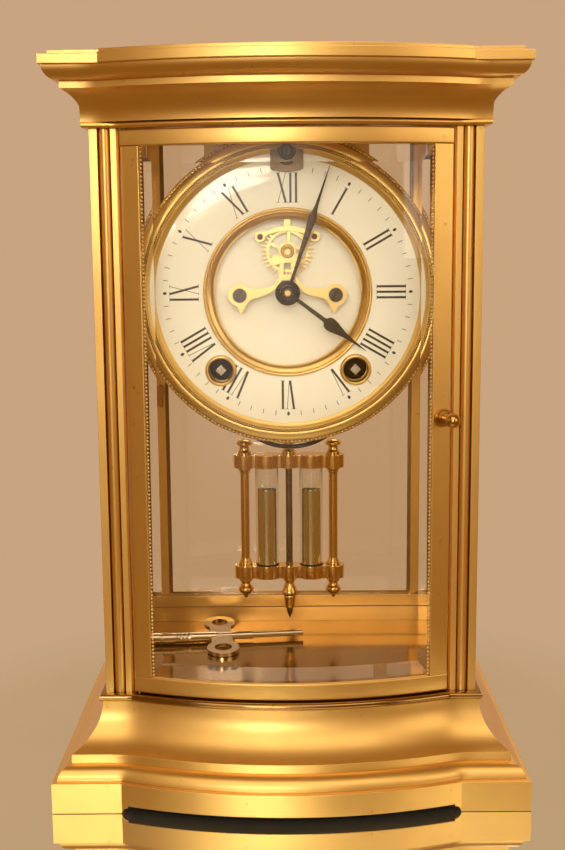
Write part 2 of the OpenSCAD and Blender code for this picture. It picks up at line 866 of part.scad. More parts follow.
module bezel() {
  tab_r = 6;
  tab_t = 0.7;
  f = dial_fwd;
  color("gold") at_dial() difference() {
    union() {
      rotate_extrude($fn = 2 * fine) polygon([
        [dial_r, f + 0.1], [dial_r, f + 0.5], [dial_r + 2.3, f + 1.9], [dial_r + 3.1, f + 2.4],
        [dial_r + 3.9, f + 1.9], [bezel_r - 1.2, f + 1.1], [bezel_r, f + 0.4], [bezel_r, f - 0.8],
        [bezel_r - 1.3, f - 1.4], [skirt_r + skirt_t, f - 1.4], [skirt_r + skirt_t, pan_front],
        [skirt_r, pan_front], [skirt_r, f + 0.1]]);
      translate([0, regulator_up + 0.5, f + 0.1]) cylinder(r = tab_r, h = tab_t, $fn = fine);
    }
    translate([0, regulator_up, pan_front]) cylinder(r = regulator_r + 0.5, h = dial_fwd, $fn = 48);
  }
}

// Brass plate behind the dial, on three feet that stand on the front movement plate
module dial_pan() {
  foot_r = 2;
  foot_d = 34;
  color("goldenrod") at_dial() difference() {
    union() {
      translate([0, 0, pan_level]) cylinder(r = skirt_r + skirt_t, h = pan_t, $fn = 2 * fine);
      for (a = [25, 155, 270])
        at(foot_d * heading(a)) translate([0, 0, front_plate_fwd])
          cylinder(r = foot_r, h = pan_level - front_plate_fwd, $fn = 48);
    }
    cylinder(r = hour_tube_r + 0.4, h = 2 * dial_fwd, $fn = 48);
    at(escape_at) cylinder(r = fine_arbor_r + 0.5, h = 2 * dial_fwd, $fn = 48);
    at(anchor_at) cylinder(r = anchor_arbor_r + 0.5, h = 2 * dial_fwd, $fn = 48);
    at(time_at) cylinder(r = wind_hole_r, h = 2 * dial_fwd, $fn = 48);
    at(strike_at) cylinder(r = wind_hole_r, h = 2 * dial_fwd, $fn = 48);
    translate([0, regulator_up, 0]) cylinder(r = regulator_r + run_gap, h = 2 * dial_fwd, $fn = 48);
  }
}

module chapter_ring() {
  color("ivory") at_dial() translate([0, 0, dial_fwd - dial_t]) difference() {
    cylinder(r = skirt_r - 0.3, h = dial_t, $fn = 2 * fine);
    translate([0, 0, -1]) cylinder(r = centre_r + centre_ring_w - 0.7, h = 2 * dial_t, $fn = 2 * fine);
    for (p = [time_at, strike_at]) at(p) translate([0, 0, -1])
      cylinder(r = wind_hole_r + 0.9, h = 2 * dial_t, $fn = 48);
    translate([0, regulator_up, -1]) cylinder(r = 2, h = 2 * dial_t, $fn = 48);
  }
}

module centre_ring() {
  f = dial_fwd;
  outer = centre_r + centre_ring_w;
  wall_in = centre_r + 1;
  wall_out = outer - 1;
  notch_half = 2.4;
  color("gold") at_dial() difference() {
    rotate_extrude($fn = 2 * fine) polygon([
      [wall_in, pan_front], [wall_out, pan_front], [wall_out, f + 0.05], [outer, f + 0.05], [outer, f + 0.5],
      [outer - 0.8, f + 1], [outer - 1.6, f + 0.6], [centre_r + 0.6, f + 0.8], [centre_r, f + 0.2],
      [centre_r, f - 1.8], [wall_in, f - 2.2]]);
    translate([-notch_half, 0, pan_front - 1])
      cube([2 * notch_half, 2 * outer, bridge_level - pan_front + 1]);
  }
}

module centre_dial() {
  color("ivory") at_dial() translate([0, 0, pan_front]) difference() {
    cylinder(r = centre_r + 0.8, h = centre_dial_t, $fn = 2 * fine);
    translate([0, 0, -1]) cylinder(r = hour_tube_r + 0.4, h = 2 * dial_t, $fn = 48);
    at(escape_at) translate([0, 0, -1]) cylinder(r = fine_arbor_r + 0.5, h = 2 * dial_t, $fn = 48);
    for (side = [-1, 1]) translate([side * bridge_foot_x, escape_up - bridge_drop, -1])
      cylinder(r = bridge_screw_r + run_gap, h = 2 * dial_t, $fn = 48);
  }
}

module winding_ferrules() {
  color("gold") at_dial() for (p = [time_at, strike_at]) at(p) translate([0, 0, dial_fwd - dial_t])
    rotate_extrude($fn = 64) translate([wind_hole_r, 0]) {
      square([0.85, dial_t + 0.05]);
      translate([0, dial_t + 0.05]) square([ferrule_w, 0.6]);
    }
}

// Arbor that sets the rate, from the dial's edge back to the suspension
module regulator_arbor() {
  front = dial_fwd + 2.6;
  head_t = 1.8;
  back = -pendulum_back + 6;
  color("dimgray") at_dial() translate([0, regulator_up, 0]) difference() {
    union() {
      arbor(regulator_r, back, front);
      arbor(regulator_r + 0.4, front - head_t, front);
    }
    translate([-0.3, -2, front - 0.8]) cube([0.6, 4, 1]);
  }
}

// Hands and motion work

module minute_hand() {
  boss_r = 4.4;
  tip = 0.2;
  color("midnightblue") at_dial() translate([0, 0, minute_hand_level])
  rotate([0, 0, -minute_angle]) difference() {
    union() {
      cylinder(r = boss_r, h = hand_t + collet_lift, $fn = 64);
      linear_extrude(height = hand_t)
        polygon([[-0.55, 0], [-0.55, 0.15 * minute_l], [-1.7, 0.6 * minute_l], [-tip, minute_l],
                 [tip, minute_l], [1.7, 0.6 * minute_l], [0.55, 0.15 * minute_l], [0.55, 0]]);
    }
    translate([0, 0, -1]) cylinder(r = cannon_r + run_gap, h = 2 + hand_t, $fn = 48);
  }
}

module hour_hand() {
  boss_r = 3.9;
  tip = 0.2;
  color("midnightblue") at_dial() translate([0, 0, hour_hand_level])
  rotate([0, 0, -hour_angle]) difference() {
    union() {
      cylinder(r = boss_r, h = hand_t + collet_lift, $fn = 64);
      linear_extrude(height = hand_t)
        polygon([[-0.7, 0], [-0.9, 0.47 * hour_l], [-2.2, 0.54 * hour_l], [-2.3, 0.6 * hour_l],
                 [-1.1, 0.8 * hour_l], [-tip, hour_l], [tip, hour_l], [1.1, 0.8 * hour_l],
                 [2.3, 0.6 * hour_l], [2.2, 0.54 * hour_l], [0.9, 0.47 * hour_l], [0.7, 0]]);
    }
    translate([0, 0, -1]) cylinder(r = hour_tube_r + run_gap, h = 2 + hand_t, $fn = 48);
  }
}

module cannon_pinion() {
  color("goldenrod") at_dial() difference() {
    union() {
      arbor(cannon_r, minute_level, minute_hand_level + hand_t + collet_lift);
      translate([0, 0, minute_level]) rotate([0, 0, minute_turn]) linear_extrude(height = wheel_t)
        spur(cannon_n, cannon_m);
    }
    cylinder(r = centre_arbor_r + run_gap, h = 2 * dial_fwd, $fn = 48);
  }
}

module hour_wheel() {
  color("goldenrod") at_dial() difference() {
    union() {
      arbor(hour_tube_r, hour_level, hour_hand_level + hand_t + collet_lift);
      translate([0, 0, hour_level]) rotate([0, 0, minute_turn + 180 / hour_n])
        linear_extrude(height = wheel_t) spur(hour_n, hour_m);
    }
    cylinder(r = cannon_r + run_gap, h = 2 * dial_fwd, $fn = 48);
  }
}

module minute_wheel() {
  pinion_t = hour_level + wheel_t + 0.2 - minute_level;
  color("goldenrod") at_dial() at(minute_at) translate([0, 0, minute_level]) difference() {
    union() {
      rotate([0, 0, minute_turn + 180 + 180 / minute_n]) linear_extrude(height = wheel_t)
        spur(minute_n, cannon_m);
      rotate([0, 0, minute_turn + 180]) linear_extrude(height = pinion_t) spur(minute_pinion_n, hour_m);
    }
    translate([0, 0, -1]) cylinder(r = centre_arbor_r + run_gap, h = 2 + pinion_t, $fn = 48);
  }
}

module hand_nut() {
  nut_r = 2.1;
  back = minute_hand_level + hand_t + collet_lift + 0.15;
  color("gold") at_dial() translate([0, 0, back]) difference() {
    union() {
      cylinder(r = nut_r, h = 0.6, $fn = 48);
      translate([0, 0, 0.6]) cylinder(r1 = nut_r, r2 = 1.4, h = 0.6, $fn = 48);
    }
    translate([0, 0, -1]) cylinder(r = centre_arbor_r + run_gap, h = 4, $fn = 48);
  }
}

// Escapement

module escape_wheel() {
  rim_out = escape_r - 2.1;
  rim_in = rim_out - 1;
  hub_r = 2;
  arms = 5;
  arm_w = 1;
  pinion_z = 4;
  pinion_t = 3;
  color("gold") at_dial() at(escape_at) rotate([0, 0, escape_phase]) {
    arbor(fine_arbor_r, back_plate_fwd - plate_t / 2, bridge_level + bridge_t + 0.4);
    translate([0, 0, pinion_z]) linear_extrude(height = pinion_t) spur(fine_pinion_n, third_m);
    translate([0, 0, escape_level]) linear_extrude(height = escape_t) {
      difference() {
        polygon([for (i = [0 : escape_n - 1])
          each [rim_out * heading((i - 0.22) * tooth_step), escape_r * heading((i - 0.06) * tooth_step),
                escape_r * heading((i + 0.06) * tooth_step), rim_out * heading((i + 0.22) * tooth_step)]]);
        circle(r = rim_in, $fn = fine);
      }
      circle(r = hub_r, $fn = 48);
      for (i = [0 : arms - 1]) rotate(i * 360 / arms) translate([0, -arm_w / 2])
        square([rim_in + arm_w / 2, arm_w]);
    }
  }
}

// Anchor: a stem from its arbor, an arch over the wheel and a round seat for each pallet
module anchor() {
  stem_half = 1.1;
  boss_r = 2.6;
  arch_top = 8;
  arch_half = 0.8;
  seat_r = pallet_r + 0.8;
  rise = arch_top - pallet_at[1];
  arch_r = (pallet_at[0] * pallet_at[0] + rise * rise) / (2 * rise);
  color("gold") at_dial() at(escape_at) translate([0, 0, anchor_level]) difference() {
    linear_extrude(height = anchor_t) {
      translate([-stem_half, arch_top - arch_half]) square([2 * stem_half, anchor_up - arch_top + arch_half]);
      translate([0, anchor_up]) circle(r = boss_r, $fn = 48);
      for (side = [-1, 1]) translate([side * pallet_at[0], pallet_at[1]]) circle(r = seat_r, $fn = 48);
      intersection() {
        translate([0, arch_top - arch_r]) difference() {
          circle(r = arch_r + arch_half, $fn = 2 * fine);
          circle(r = arch_r - arch_half, $fn = 2 * fine);
        }
        translate([-pallet_at[0], pallet_at[1] - arch_half]) square([2 * pallet_at[0], 2 * arch_top]);
      }
    }
    for (side = [-1, 1]) translate([side * pallet_at[0], pallet_at[1], -1])
      cylinder(r = pallet_r + run_gap, h = 2 + anchor_t, $fn = 48);
    translate([0, anchor_up, -1]) cylinder(r = anchor_arbor_r + run_gap, h = 2 + anchor_t, $fn = 48);
  }
}

// Half-round stones that the teeth fall against
module pallet_stones() {
  reach = anchor_level - escape_level + 0.15;
  color("darkred") at_dial() at(escape_at) translate([0, 0, anchor_level]) for (side = [-1, 1])
    translate([side * pallet_at[0], pallet_at[1], 0]) rotate([0, 0, 90 - side * pallet_angle]) {
      cylinder(r = pallet_r, h = anchor_t, $fn = 48);
      translate([0, 0, -reach]) linear_extrude(height = reach) intersection() {
        circle(r = pallet_r, $fn = 48);
        translate([-2 * pallet_r, 0]) square([4 * pallet_r, 2 * pallet_r]);
      }
    }
}

// Arbor of the anchor with the crutch, whose fork leads the pendulum's rod
module anchor_arbor() {
  crutch_fwd = plate_back_face - 2.6;
  crutch_t = 1.2;
  crutch_l = 33;
  crutch_half = 1.2;
  fork_gap = rod_r + 0.25;
  prong_w = 1;
  fork_h = 3;
  fork_half = fork_gap + prong_w;
  back = -pendulum_back - rod_r;
  color("silver") at_dial() at(anchor_at) {
    arbor(anchor_arbor_r, crutch_fwd - 0.6, anchor_level + anchor_t + 0.4);
    translate([0, 0, crutch_fwd]) linear_extrude(height = crutch_t) {
      circle(r = 2 * anchor_arbor_r, $fn = 48);
      translate([-crutch_half, -crutch_l]) square([2 * crutch_half, crutch_l]);
      translate([-fork_half, -crutch_l]) square([2 * fork_half, fork_h]);
    }
    for (side = [0, 1]) mirror([side, 0, 0]) translate([fork_gap, -crutch_l, back])
      cube([prong_w, fork_h, crutch_fwd + crutch_t - back]);
  }
}

// Middle line of a leg of the bridge, from its hub to its foot
function leg_point(t) =
  let (turn_r = 8.4, turn_at = [10.45, -6.5], turn_end = 265)
  t < 0.2 ? [turn_at[0] - turn_r, -3 + (turn_at[1] + 3) * t / 0.2]
  : t < 0.75 ? turn_at + turn_r * heading(180 + (turn_end - 180) * (t - 0.2) / 0.55)
  : let (from = turn_at + turn_r * heading(turn_end), u = (t - 0.75) / 0.25)
    from + u * ([bridge_foot_x, -bridge_drop] - from);
function leg_half(t) = 0.75 + 1.9 * pow(max(0, t - 0.4) / 0.6, 2);
function leg_side(t, side) =
  let (d = leg_point(min(1, t + 0.01)) - leg_point(max(0, t - 0.01)))
  leg_point(t) + side * leg_half(t) / norm(d) * [-d[1], d[0]];

// Bridge that carries the escape wheel's front pivot on two curved legs
module escape_bridge() {
  hub_r = 3.2;
  boss_r = 2.3;
  boss_t = 0.6;
  lobe_r = 1.8;
  foot_r = 4;
  post_r = 2.6;
  steps = 24;
  color("gold") at_dial() at(escape_at) difference() {
    union() {
      translate([0, 0, bridge_level]) linear_extrude(height = bridge_t) {
        circle(r = hub_r, $fn = 64);
        translate([-2, -10.4]) square([4, 2]);
        translate([-4, -4.2]) square([8, 2.4]);
        for (side = [0, 1]) mirror([side, 0]) {
          translate([4, -3.1]) circle(r = lobe_r, $fn = 48);
          polygon([for (i = [0 : steps]) leg_side(i / steps, 1),
                   for (i = [steps : -1 : 0]) leg_side(i / steps, -1)]);
          translate([bridge_foot_x, -bridge_drop]) {
            circle(r = foot_r, $fn = 64);
            polygon([[-2.6, -3], [-0.5, -6.8], [1.2, -3.6]]);
          }
        }
      }
      translate([0, 0, bridge_level + bridge_t]) cylinder(r = boss_r, h = boss_t, $fn = 64);
      for (side = [-1, 1]) translate([side * bridge_foot_x, -bridge_drop, centre_face])
        cylinder(r = post_r, h = bridge_level - centre_face, $fn = 48);
    }
    cylinder(r = fine_arbor_r + run_gap, h = 2 * dial_fwd, $fn = 48);
    for (side = [-1, 1]) translate([side * bridge_foot_x, -bridge_drop, 0])
      cylinder(r = bridge_screw_r + run_gap, h = 2 * dial_fwd, $fn = 48);
  }
}

module bridge_screws() {
  head_r = 2.5;
  head_t = 0.8;
  top = bridge_level + bridge_t;
  color("dimgray") at_dial() for (side = [-1, 1])
    translate([side * bridge_foot_x, escape_up - bridge_drop, 0]) difference() {
      union() {
        arbor(bridge_screw_r, pan_front, top);
        arbor(head_r, top, top + head_t);
      }
      rotate([0, 0, 60]) translate([-3, -0.25, top + head_t - 0.4]) cube([6, 0.5, 1]);
    }
}

// Movement

module plate_outline() {
  ear_r = 13;
  circle(r = plate_r, $fn = 2 * fine);
  for (p = [time_at, strike_at]) translate(p) circle(r = ear_r, $fn = fine);
}

module plate(level) {
  difference() {
    translate([0, 0, level]) linear_extrude(height = plate_t) plate_outline();
    for (p = pivots) at(p[0]) translate([0, 0, level - 1])
      cylinder(r = p[1] + run_gap, h = plate_t + 2, $fn = 48);
  }
}

// Front plate with the stud of the minute wheel and a click for each ratchet
module front_plate() {
  click_t = 1;
  stud_l = hour_level + wheel_t + 0.3 - front_plate_fwd;
  color("goldenrod") at_dial() {
    plate(front_plate_fwd - plate_t);
    at(minute_at) arbor(centre_arbor_r, front_plate_fwd - 0.5, front_plate_fwd + stud_l);
    for (side = [-1, 1]) translate([side * wind_x, -wind_drop, front_plate_fwd - 0.1])
      linear_extrude(height = click_t + 0.1) {
        translate([0, ratchet_r + 2.2]) circle(r = 1.6, $fn = 48);
        polygon([[-1.2, ratchet_r + 2.2], [1.2, ratchet_r + 2.2],
                 [0.4, ratchet_r + 0.35], [-0.4, ratchet_r + 0.35]]);
      }
  }
}

module back_plate() {
  color("goldenrod") at_dial() {
    plate(plate_back_face);
    for (p = pillars) at(p) arbor(pillar_r, back_plate_fwd - 0.5, front_plate_fwd - plate_t);
  }
}

// Four straps that hang the movement from the top plate
module movement_straps() {
  low = 24;
  high = column_top_z - dial_z;
  tab_l = 10;
  color("goldenrod") at_dial() for (side = [0, 1]) mirror([side, 0, 0])
  translate([strap_x - strap_w / 2, 0, 0]) {
    translate([0, low, front_plate_fwd - plate_t - strap_t]) cube([strap_w, high - low, strap_t]);
    translate([0, high - strap_t, front_plate_fwd - plate_t - tab_l]) cube([strap_w, strap_t, tab_l]);
    translate([0, low, back_plate_fwd]) cube([strap_w, high - low, strap_t]);
    translate([0, high - strap_t, back_plate_fwd]) cube([strap_w, strap_t, tab_l]);
  }
}

module barrel() {
  drum_back = -3;
  wheel_back = 8.4;
  difference() {
    union() {
      arbor(barrel_r, drum_back, wheel_back);
      translate([0, 0, wheel_back]) linear_extrude(height = great_t) spur(great_n, great_m);
    }
    translate([0, 0, drum_back - 1]) cylinder(r = wind_arbor_r + run_gap, h = 2 * dial_fwd, $fn = 48);
  }
}

module time_barrel() {
  color("goldenrod") at_dial() at(time_at) rotate([0, 0, bearing(time_at, inter_at)]) barrel();
}

module strike_barrel() {
  color("goldenrod") at_dial() at(strike_at) rotate([0, 0, bearing(strike_at, second_at)]) barrel();
}

// Arbor that winds a mainspring: a ratchet in front of the plate and a square end in the dial
module winding_arbor() {
  teeth = 24;
  step = 360 / teeth;
  square_s = 2.8;
  shoulder = dial_fwd - 4;
  arbor(wind_arbor_r, plate_back_face + 0.3, shoulder);
  translate([0, 0, front_plate_fwd + 0.2]) linear_extrude(height = 1)
    polygon([for (i = [0 : teeth - 1])
      each [ratchet_r * heading(i * step), (ratchet_r - 0.9) * heading((i + 0.1) * step)]]);
  translate([-square_s / 2, -square_s / 2, shoulder]) cube([square_s, square_s, 3]);
}

module time_winding_arbor() {
  color("silver") at_dial() at(time_at) rotate([0, 0, 45]) winding_arbor();
}

module strike_winding_arbor() {
  color("silver") at_dial() at(strike_at) rotate([0, 0, 45]) winding_arbor();
}

// A wheel at one level and a pinion at another on one arbor between the plates
module train_arbor(p, turn, wheel_n, wheel_m, wheel_z, pinion_n, pinion_m, pinion_z, pinion_t, pinion_turn) {
  at(p) {
    arbor(fine_arbor_r, back_plate_fwd - plate_t / 2, front_plate_fwd - plate_t / 2);
    translate([0, 0, wheel_z]) rotate([0, 0, turn]) linear_extrude(height = 1)
      crossed_wheel(wheel_n, wheel_m, 1.4, 2.4, 5);
    translate([0, 0, pinion_z]) rotate([0, 0, pinion_turn]) linear_extrude(height = pinion_t)
      spur(pinion_n, pinion_m);
  }
}

// From the barrel to the escape wheel: intermediate, centre and third arbors
module going_train() {
  to_inter = bearing(time_at, inter_at);
  to_centre = bearing(inter_at, [0, 0]);
  to_third = bearing([0, 0], third_at);
  to_escape = bearing(third_at, escape_at);
  leaf = escape_phase - to_escape - 180;
  third_turn = to_escape + (180 - leaf * fine_pinion_n) / third_n;
  color("goldenrod") at_dial() {
    train_arbor(inter_at, to_centre, inter_n, inter_m, -7, train_pinion_n, great_m, 8.2, 2.2,
                to_inter + 180 + 180 / train_pinion_n);
    train_arbor([0, 0], to_third, centre_n, centre_m, -2, centre_pinion_n, inter_m, -8, 3,
                to_centre + 180 + 180 / centre_pinion_n);
    arbor(centre_arbor_r, back_plate_fwd - plate_t / 2, minute_hand_level + hand_t + collet_lift + 1.7);
    train_arbor(third_at, third_turn, third_n, third_m, 5, fine_pinion_n, centre_m, -3, 3,
                to_third + 180 + 180 / fine_pinion_n);
  }
}

// From the barrel to the fly: second wheel, pin wheel and fly
module strike_train() {
  to_second = bearing(strike_at, second_at);
  to_pin = bearing(second_at, pin_wheel_at);
  to_fly = bearing(pin_wheel_at, fly_at);
  pins = 8;
  pin_ring = 7.5;
  fly_half = 7;
  fly_t = 0.6;
  color("goldenrod") at_dial() {
    train_arbor(second_at, to_pin, second_n, second_m, -7, train_pinion_n, great_m, 8.2, 2.2,
                to_second + 180 + 180 / train_pinion_n);
    train_arbor(pin_wheel_at, to_fly, pin_wheel_n, pin_wheel_m, 1, pin_pinion_n, second_m, -7.5, 2,
                to_pin + 180 + 180 / pin_pinion_n);
    at(pin_wheel_at) for (i = [0 : pins - 1]) at(pin_ring * heading(i * 360 / pins)) arbor(0.5, 1.5, 3.6);
    at(fly_at) {
      arbor(fine_arbor_r, back_plate_fwd - plate_t / 2, front_plate_fwd - plate_t / 2);
      translate([0, 0, 0.5]) rotate([0, 0, to_fly + 180 + 180 / fine_pinion_n]) linear_extrude(height = 2)
        spur(fine_pinion_n, pin_wheel_m);
      translate([-fly_half, -fly_t / 2, -9]) cube([2 * fly_half, fly_t, 6]);
      arbor(1.4, -9, -3);
    }
  }
}

// Hammer on its arbor: a tail by the pin wheel inside, the arm and the head behind the back plate
module hammer() {
  arm_half = 1;
  arm_t = 1.6;
  tail_l = 3.4;
  head_r = 3;
  head_l = 10.7;
  head_y = -gong_drop + 1.8;
  head_end = gong_r - gong_pitch / 2 + gong_wire_r + 1;
  arm_fwd = gong_fwd - arm_t / 2;
  tail_turn = bearing(hammer_at, pin_wheel_at);
  color("dimgray") at_dial() {
    at(hammer_at) {
      arbor(anchor_arbor_r, arm_fwd, front_plate_fwd - plate_t / 2);
      translate([0, 0, 2.4]) rotate([0, 0, tail_turn]) translate([0, -0.6, 0]) cube([tail_l, 1.2, 1]);
    }
    translate([hammer_at[0] - arm_half, head_y, arm_fwd])
      cube([2 * arm_half, hammer_at[1] - head_y + arm_half, arm_t]);
    translate([-head_end - head_l, head_y, gong_fwd]) rotate([0, 90, 0])
      cylinder(r = head_r, h = head_l, $fn = 48);
  }
}

// Points along the gong's wire: a short straight end, the spiral and a straight free end
rings_per_turn = 24;
gong_path = concat(
  [[gong_inner_r, 0, 0]],
  [for (i = [0 : rings_per_turn * gong_turns])
    let (a = 360 * i / rings_per_turn, r = gong_inner_r + gong_pitch * i / rings_per_turn)
    [r * cos(a), gong_lead + r * sin(a), 0]],
  [[gong_r, 2 * gong_lead, 0]]);
function path_heading(path, i) =
  let (d = path[min(i + 1, len(path) - 1)] - path[max(i - 1, 0)])
  i == 0 || i == len(path) - 1 ? [0, 1, 0] : d / norm(d);
function ring_point(path, r, sides, i, k) =
  let (d = path_heading(path, i), a = 360 * k / sides)
  path[i] + r * (cos(a) * [d[1], -d[0], 0] + sin(a) * [0, 0, 1]);

// A closed tube round a flat path, made of triangles
module tube(path, r, sides) {
  last = len(path) - 1;
  points = [for (i = [0 : last], k = [0 : sides - 1]) ring_point(path, r, sides, i, k)];
  walls = [for (i = [0 : last - 1], k = [0 : sides - 1])
    let (a = i * sides + k, b = i * sides + (k + 1) % sides)
    each [[a, a + sides, b], [b, a + sides, b + sides]]];
  caps = [for (k = [1 : sides - 2])
    each [[0, k, k + 1], [last * sides, last * sides + k + 1, last * sides + k]]];
  polyhedron(points = points, faces = concat(walls, caps));
}

module gong() {
  sides = 6;
  apart = rings_per_turn / 2;
  last = len(gong_path) - 1;
  least = min([for (i = [0 : last - apart], j = [i + apart : last]) norm(gong_path[i] - gong_path[j])]);
  echo(gong_least_gap = least - 2 * gong_wire_r);
  color("dimgray") at_dial() translate([0, -gong_drop, gong_fwd]) tube(gong_path, gong_wire_r, sides);
}

// Block on the back plate that holds the gong's inner end
module gong_block() {
  back = gong_fwd - 2.5;
  left = 5;
  tall = 2.6;
  color("goldenrod") at_dial() translate([-left, -gong_drop - tall, back])
    cube([left + gong_inner_r + gong_wire_r, tall, plate_back_face - back]);
}

// Cock on the back plate: it holds the pendulum's suspension and the end of the rate arbor
module suspension_cock() {
  arm_in = 4;
  arm_out = 7;
  block_front = -pendulum_back + cock_fore;
  block_back = -pendulum_back - cock_aft;
  pin_up = pivot_z - dial_z;
  low = pin_up - cock_low;
  high = pin_up + cock_rise;
  block_l = block_front - block_back;
  roof = 2;
  ear_half = 3;
  ear_t = 4;
  slot_half = 0.7;
  pin_bore_r = suspension_pin_r + run_gap;
  color("goldenrod") at_dial() difference() {
    union() {
      for (x = [-arm_out, arm_in])
        translate([x, low, block_front])
          cube([arm_out - arm_in, high - low, plate_back_face - block_front]);
      translate([-arm_out, low, block_back]) cube([2 * arm_out, high - low, block_l]);
      translate([-arm_out, high - roof, block_back]) cube([2 * arm_out, roof, block_l + ear_t]);
      translate([-ear_half, high - roof, block_front])
        cube([2 * ear_half, regulator_up + ear_half - high + roof, ear_t]);
    }
    translate([0, regulator_up, block_back]) cylinder(r = regulator_r + run_gap, h = dial_fwd, $fn = 48);
    translate([0, pin_up, block_back - 1]) cylinder(r = pin_bore_r, h = block_l + 2, $fn = 48);
    translate([-slot_half, low - 1, block_back - 1])
      cube([2 * slot_half, pin_up - low + 1, block_l + 2]);
  }
}

// Pendulum

module at_pendulum() {
  placed() translate([0, pendulum_back, 0]) children();
}

// Suspension, rod and the turned point below the rating nut
module pendulum_rod() {
  pin_l = 11;
  spring_t = 0.5;
  spring_w = 6;
  chops_w = 4.4;
  chops_top = pivot_z - 6.3;
  chops_low = chops_top - 6;
  point_z = nut_z - 0.3;
  color("silver") at_pendulum() {
    translate([0, 0, pivot_z]) rotate([90, 0, 0])
      cylinder(r = suspension_pin_r, h = pin_l, center = true, $fn = 48);
    translate([-spring_t / 2, -spring_w / 2, chops_top - 1])
      cube([spring_t, spring_w, pivot_z - chops_top + 1]);
    translate([-chops_w / 2, -spring_w / 2 - 0.5, chops_low])
      cube([chops_w, spring_w + 1, chops_top - chops_low]);
    translate([0, 0, point_z - 1]) cylinder(r = rod_r, h = chops_low - point_z + 1.5, $fn = 48);
    rotate_extrude($fn = 64) polygon([
      [0, pendulum_tip_z], [1.3, pendulum_tip_z + 3.4], [1.3, pendulum_tip_z + 4.6],
      [1.7, pendulum_tip_z + 4.8], [2.2, point_z - 0.8], [2.2, point_z], [0, point_z]]);
  }
}

// Outline of a cross bar in plan: a round lobe at each pillar, at each jar and at the rod
module bar_outline() {
  square([2 * pillar_x, 0.6 * bar_depth], center = true);
  circle(r = 0.42 * bar_depth, $fn = 64);
  for (side = [-1, 1]) {
    translate([side * jar_x, 0]) circle(r = bar_depth / 2, $fn = 64);
    translate([side * pillar_x, 0]) circle(r = bar_w / 2 - pillar_x, $fn = 64);
  }
}

module cross_bar(z, seat_z) {
  difference() {
    translate([0, 0, z]) linear_extrude(height = bar_h) bar_outline();
    translate([0, 0, z - 1]) cylinder(r = rod_r + run_gap, h = bar_h + 2, $fn = 48);
    for (side = [-1, 1]) translate([side * jar_x, 0, seat_z])
      cylinder(r = jar_r + 0.15, h = 2 * jar_seat, $fn = 64);
  }
}

module pendulum_frame() {
  low = lower_bar_z;
  high = upper_bar_z + bar_h;
  color("gold") at_pendulum() {
    cross_bar(upper_bar_z, upper_bar_z - jar_seat);
    cross_bar(lower_bar_z, lower_bar_z + bar_h - jar_seat);
    for (side = [-1, 1]) translate([side * pillar_x, 0, 0]) rotate_extrude($fn = 64) polygon([
      [0, low - 9.1], [0.9, low - 8.2], [1.1, low - 7.3], [3.1, low - 5.2], [3.1, low - 4.4],
      [1.9, low - 3], [1.9, low - 2], [2.8, low - 0.8], [2.8, low + bar_h + 1], [2.4, low + bar_h + 2],
      [1.75, low + bar_h + 2.6], [1.75, high - bar_h - 2.6], [2.4, high - bar_h - 2],
      [2.8, high - bar_h - 1], [2.8, high + 1.2], [2, high + 2.2], [2, high + 3.6], [3.3, high + 4.4],
      [3.3, high + 5.2], [1.4, high + 6.5], [0, high + 6.5]]);
    difference() {
      translate([0, 0, high]) rotate_extrude($fn = 64)
        polygon([[0, -1], [2.9, -1], [2.9, 1.4], [2.1, 2.4], [2.1, 4.2], [2.7, 4.8], [2.4, 6], [0, 6]]);
      translate([0, 0, high - 2]) cylinder(r = rod_r + run_gap, h = 10, $fn = 48);
    }
  }
}

module pendulum_jars() {
  foot = lower_bar_z + bar_h - jar_seat + 0.05;
  tall = upper_bar_z - lower_bar_z - bar_h + 2 * jar_seat - 0.1;
  color("lightcyan", 0.4) at_pendulum() for (side = [-1, 1]) translate([side * jar_x, 0, foot]) difference() {
    cylinder(r = jar_r, h = tall, $fn = 64);
    translate([0, 0, jar_wall]) cylinder(r = jar_r - jar_wall, h = tall, $fn = 64);
  }
}

module quicksilver() {
  foot = lower_bar_z + bar_h - jar_seat + 0.05 + jar_wall;
  top = lower_bar_z + bar_h + quicksilver_h;
  dome = 0.6;
  r = jar_r - jar_wall - run_gap;
  color("silver") at_pendulum() for (side = [-1, 1]) translate([side * jar_x, 0, foot]) {
    cylinder(r = r, h = top - foot - dome, $fn = 64);
    translate([0, 0, top - foot - dome]) cylinder(r1 = r, r2 = r - 1, h = dome, $fn = 64);
  }
}

module rating_nut() {
  top = lower_bar_z - nut_z - 0.1;
  color("gold") at_pendulum() translate([0, 0, nut_z]) difference() {
    rotate_extrude($fn = 64) polygon([[0, 0], [2.4, 0], [3.4, 0.6], [3.4, 1.3], [2.6, 3.2], [1.95, 4.4],
      [1.95, 5.6], [2.8, 6.4], [2.8, top], [0, top]]);
    translate([0, 0, -1]) cylinder(r = rod_r + run_gap, h = top + 2, $fn = 48);
  }
}

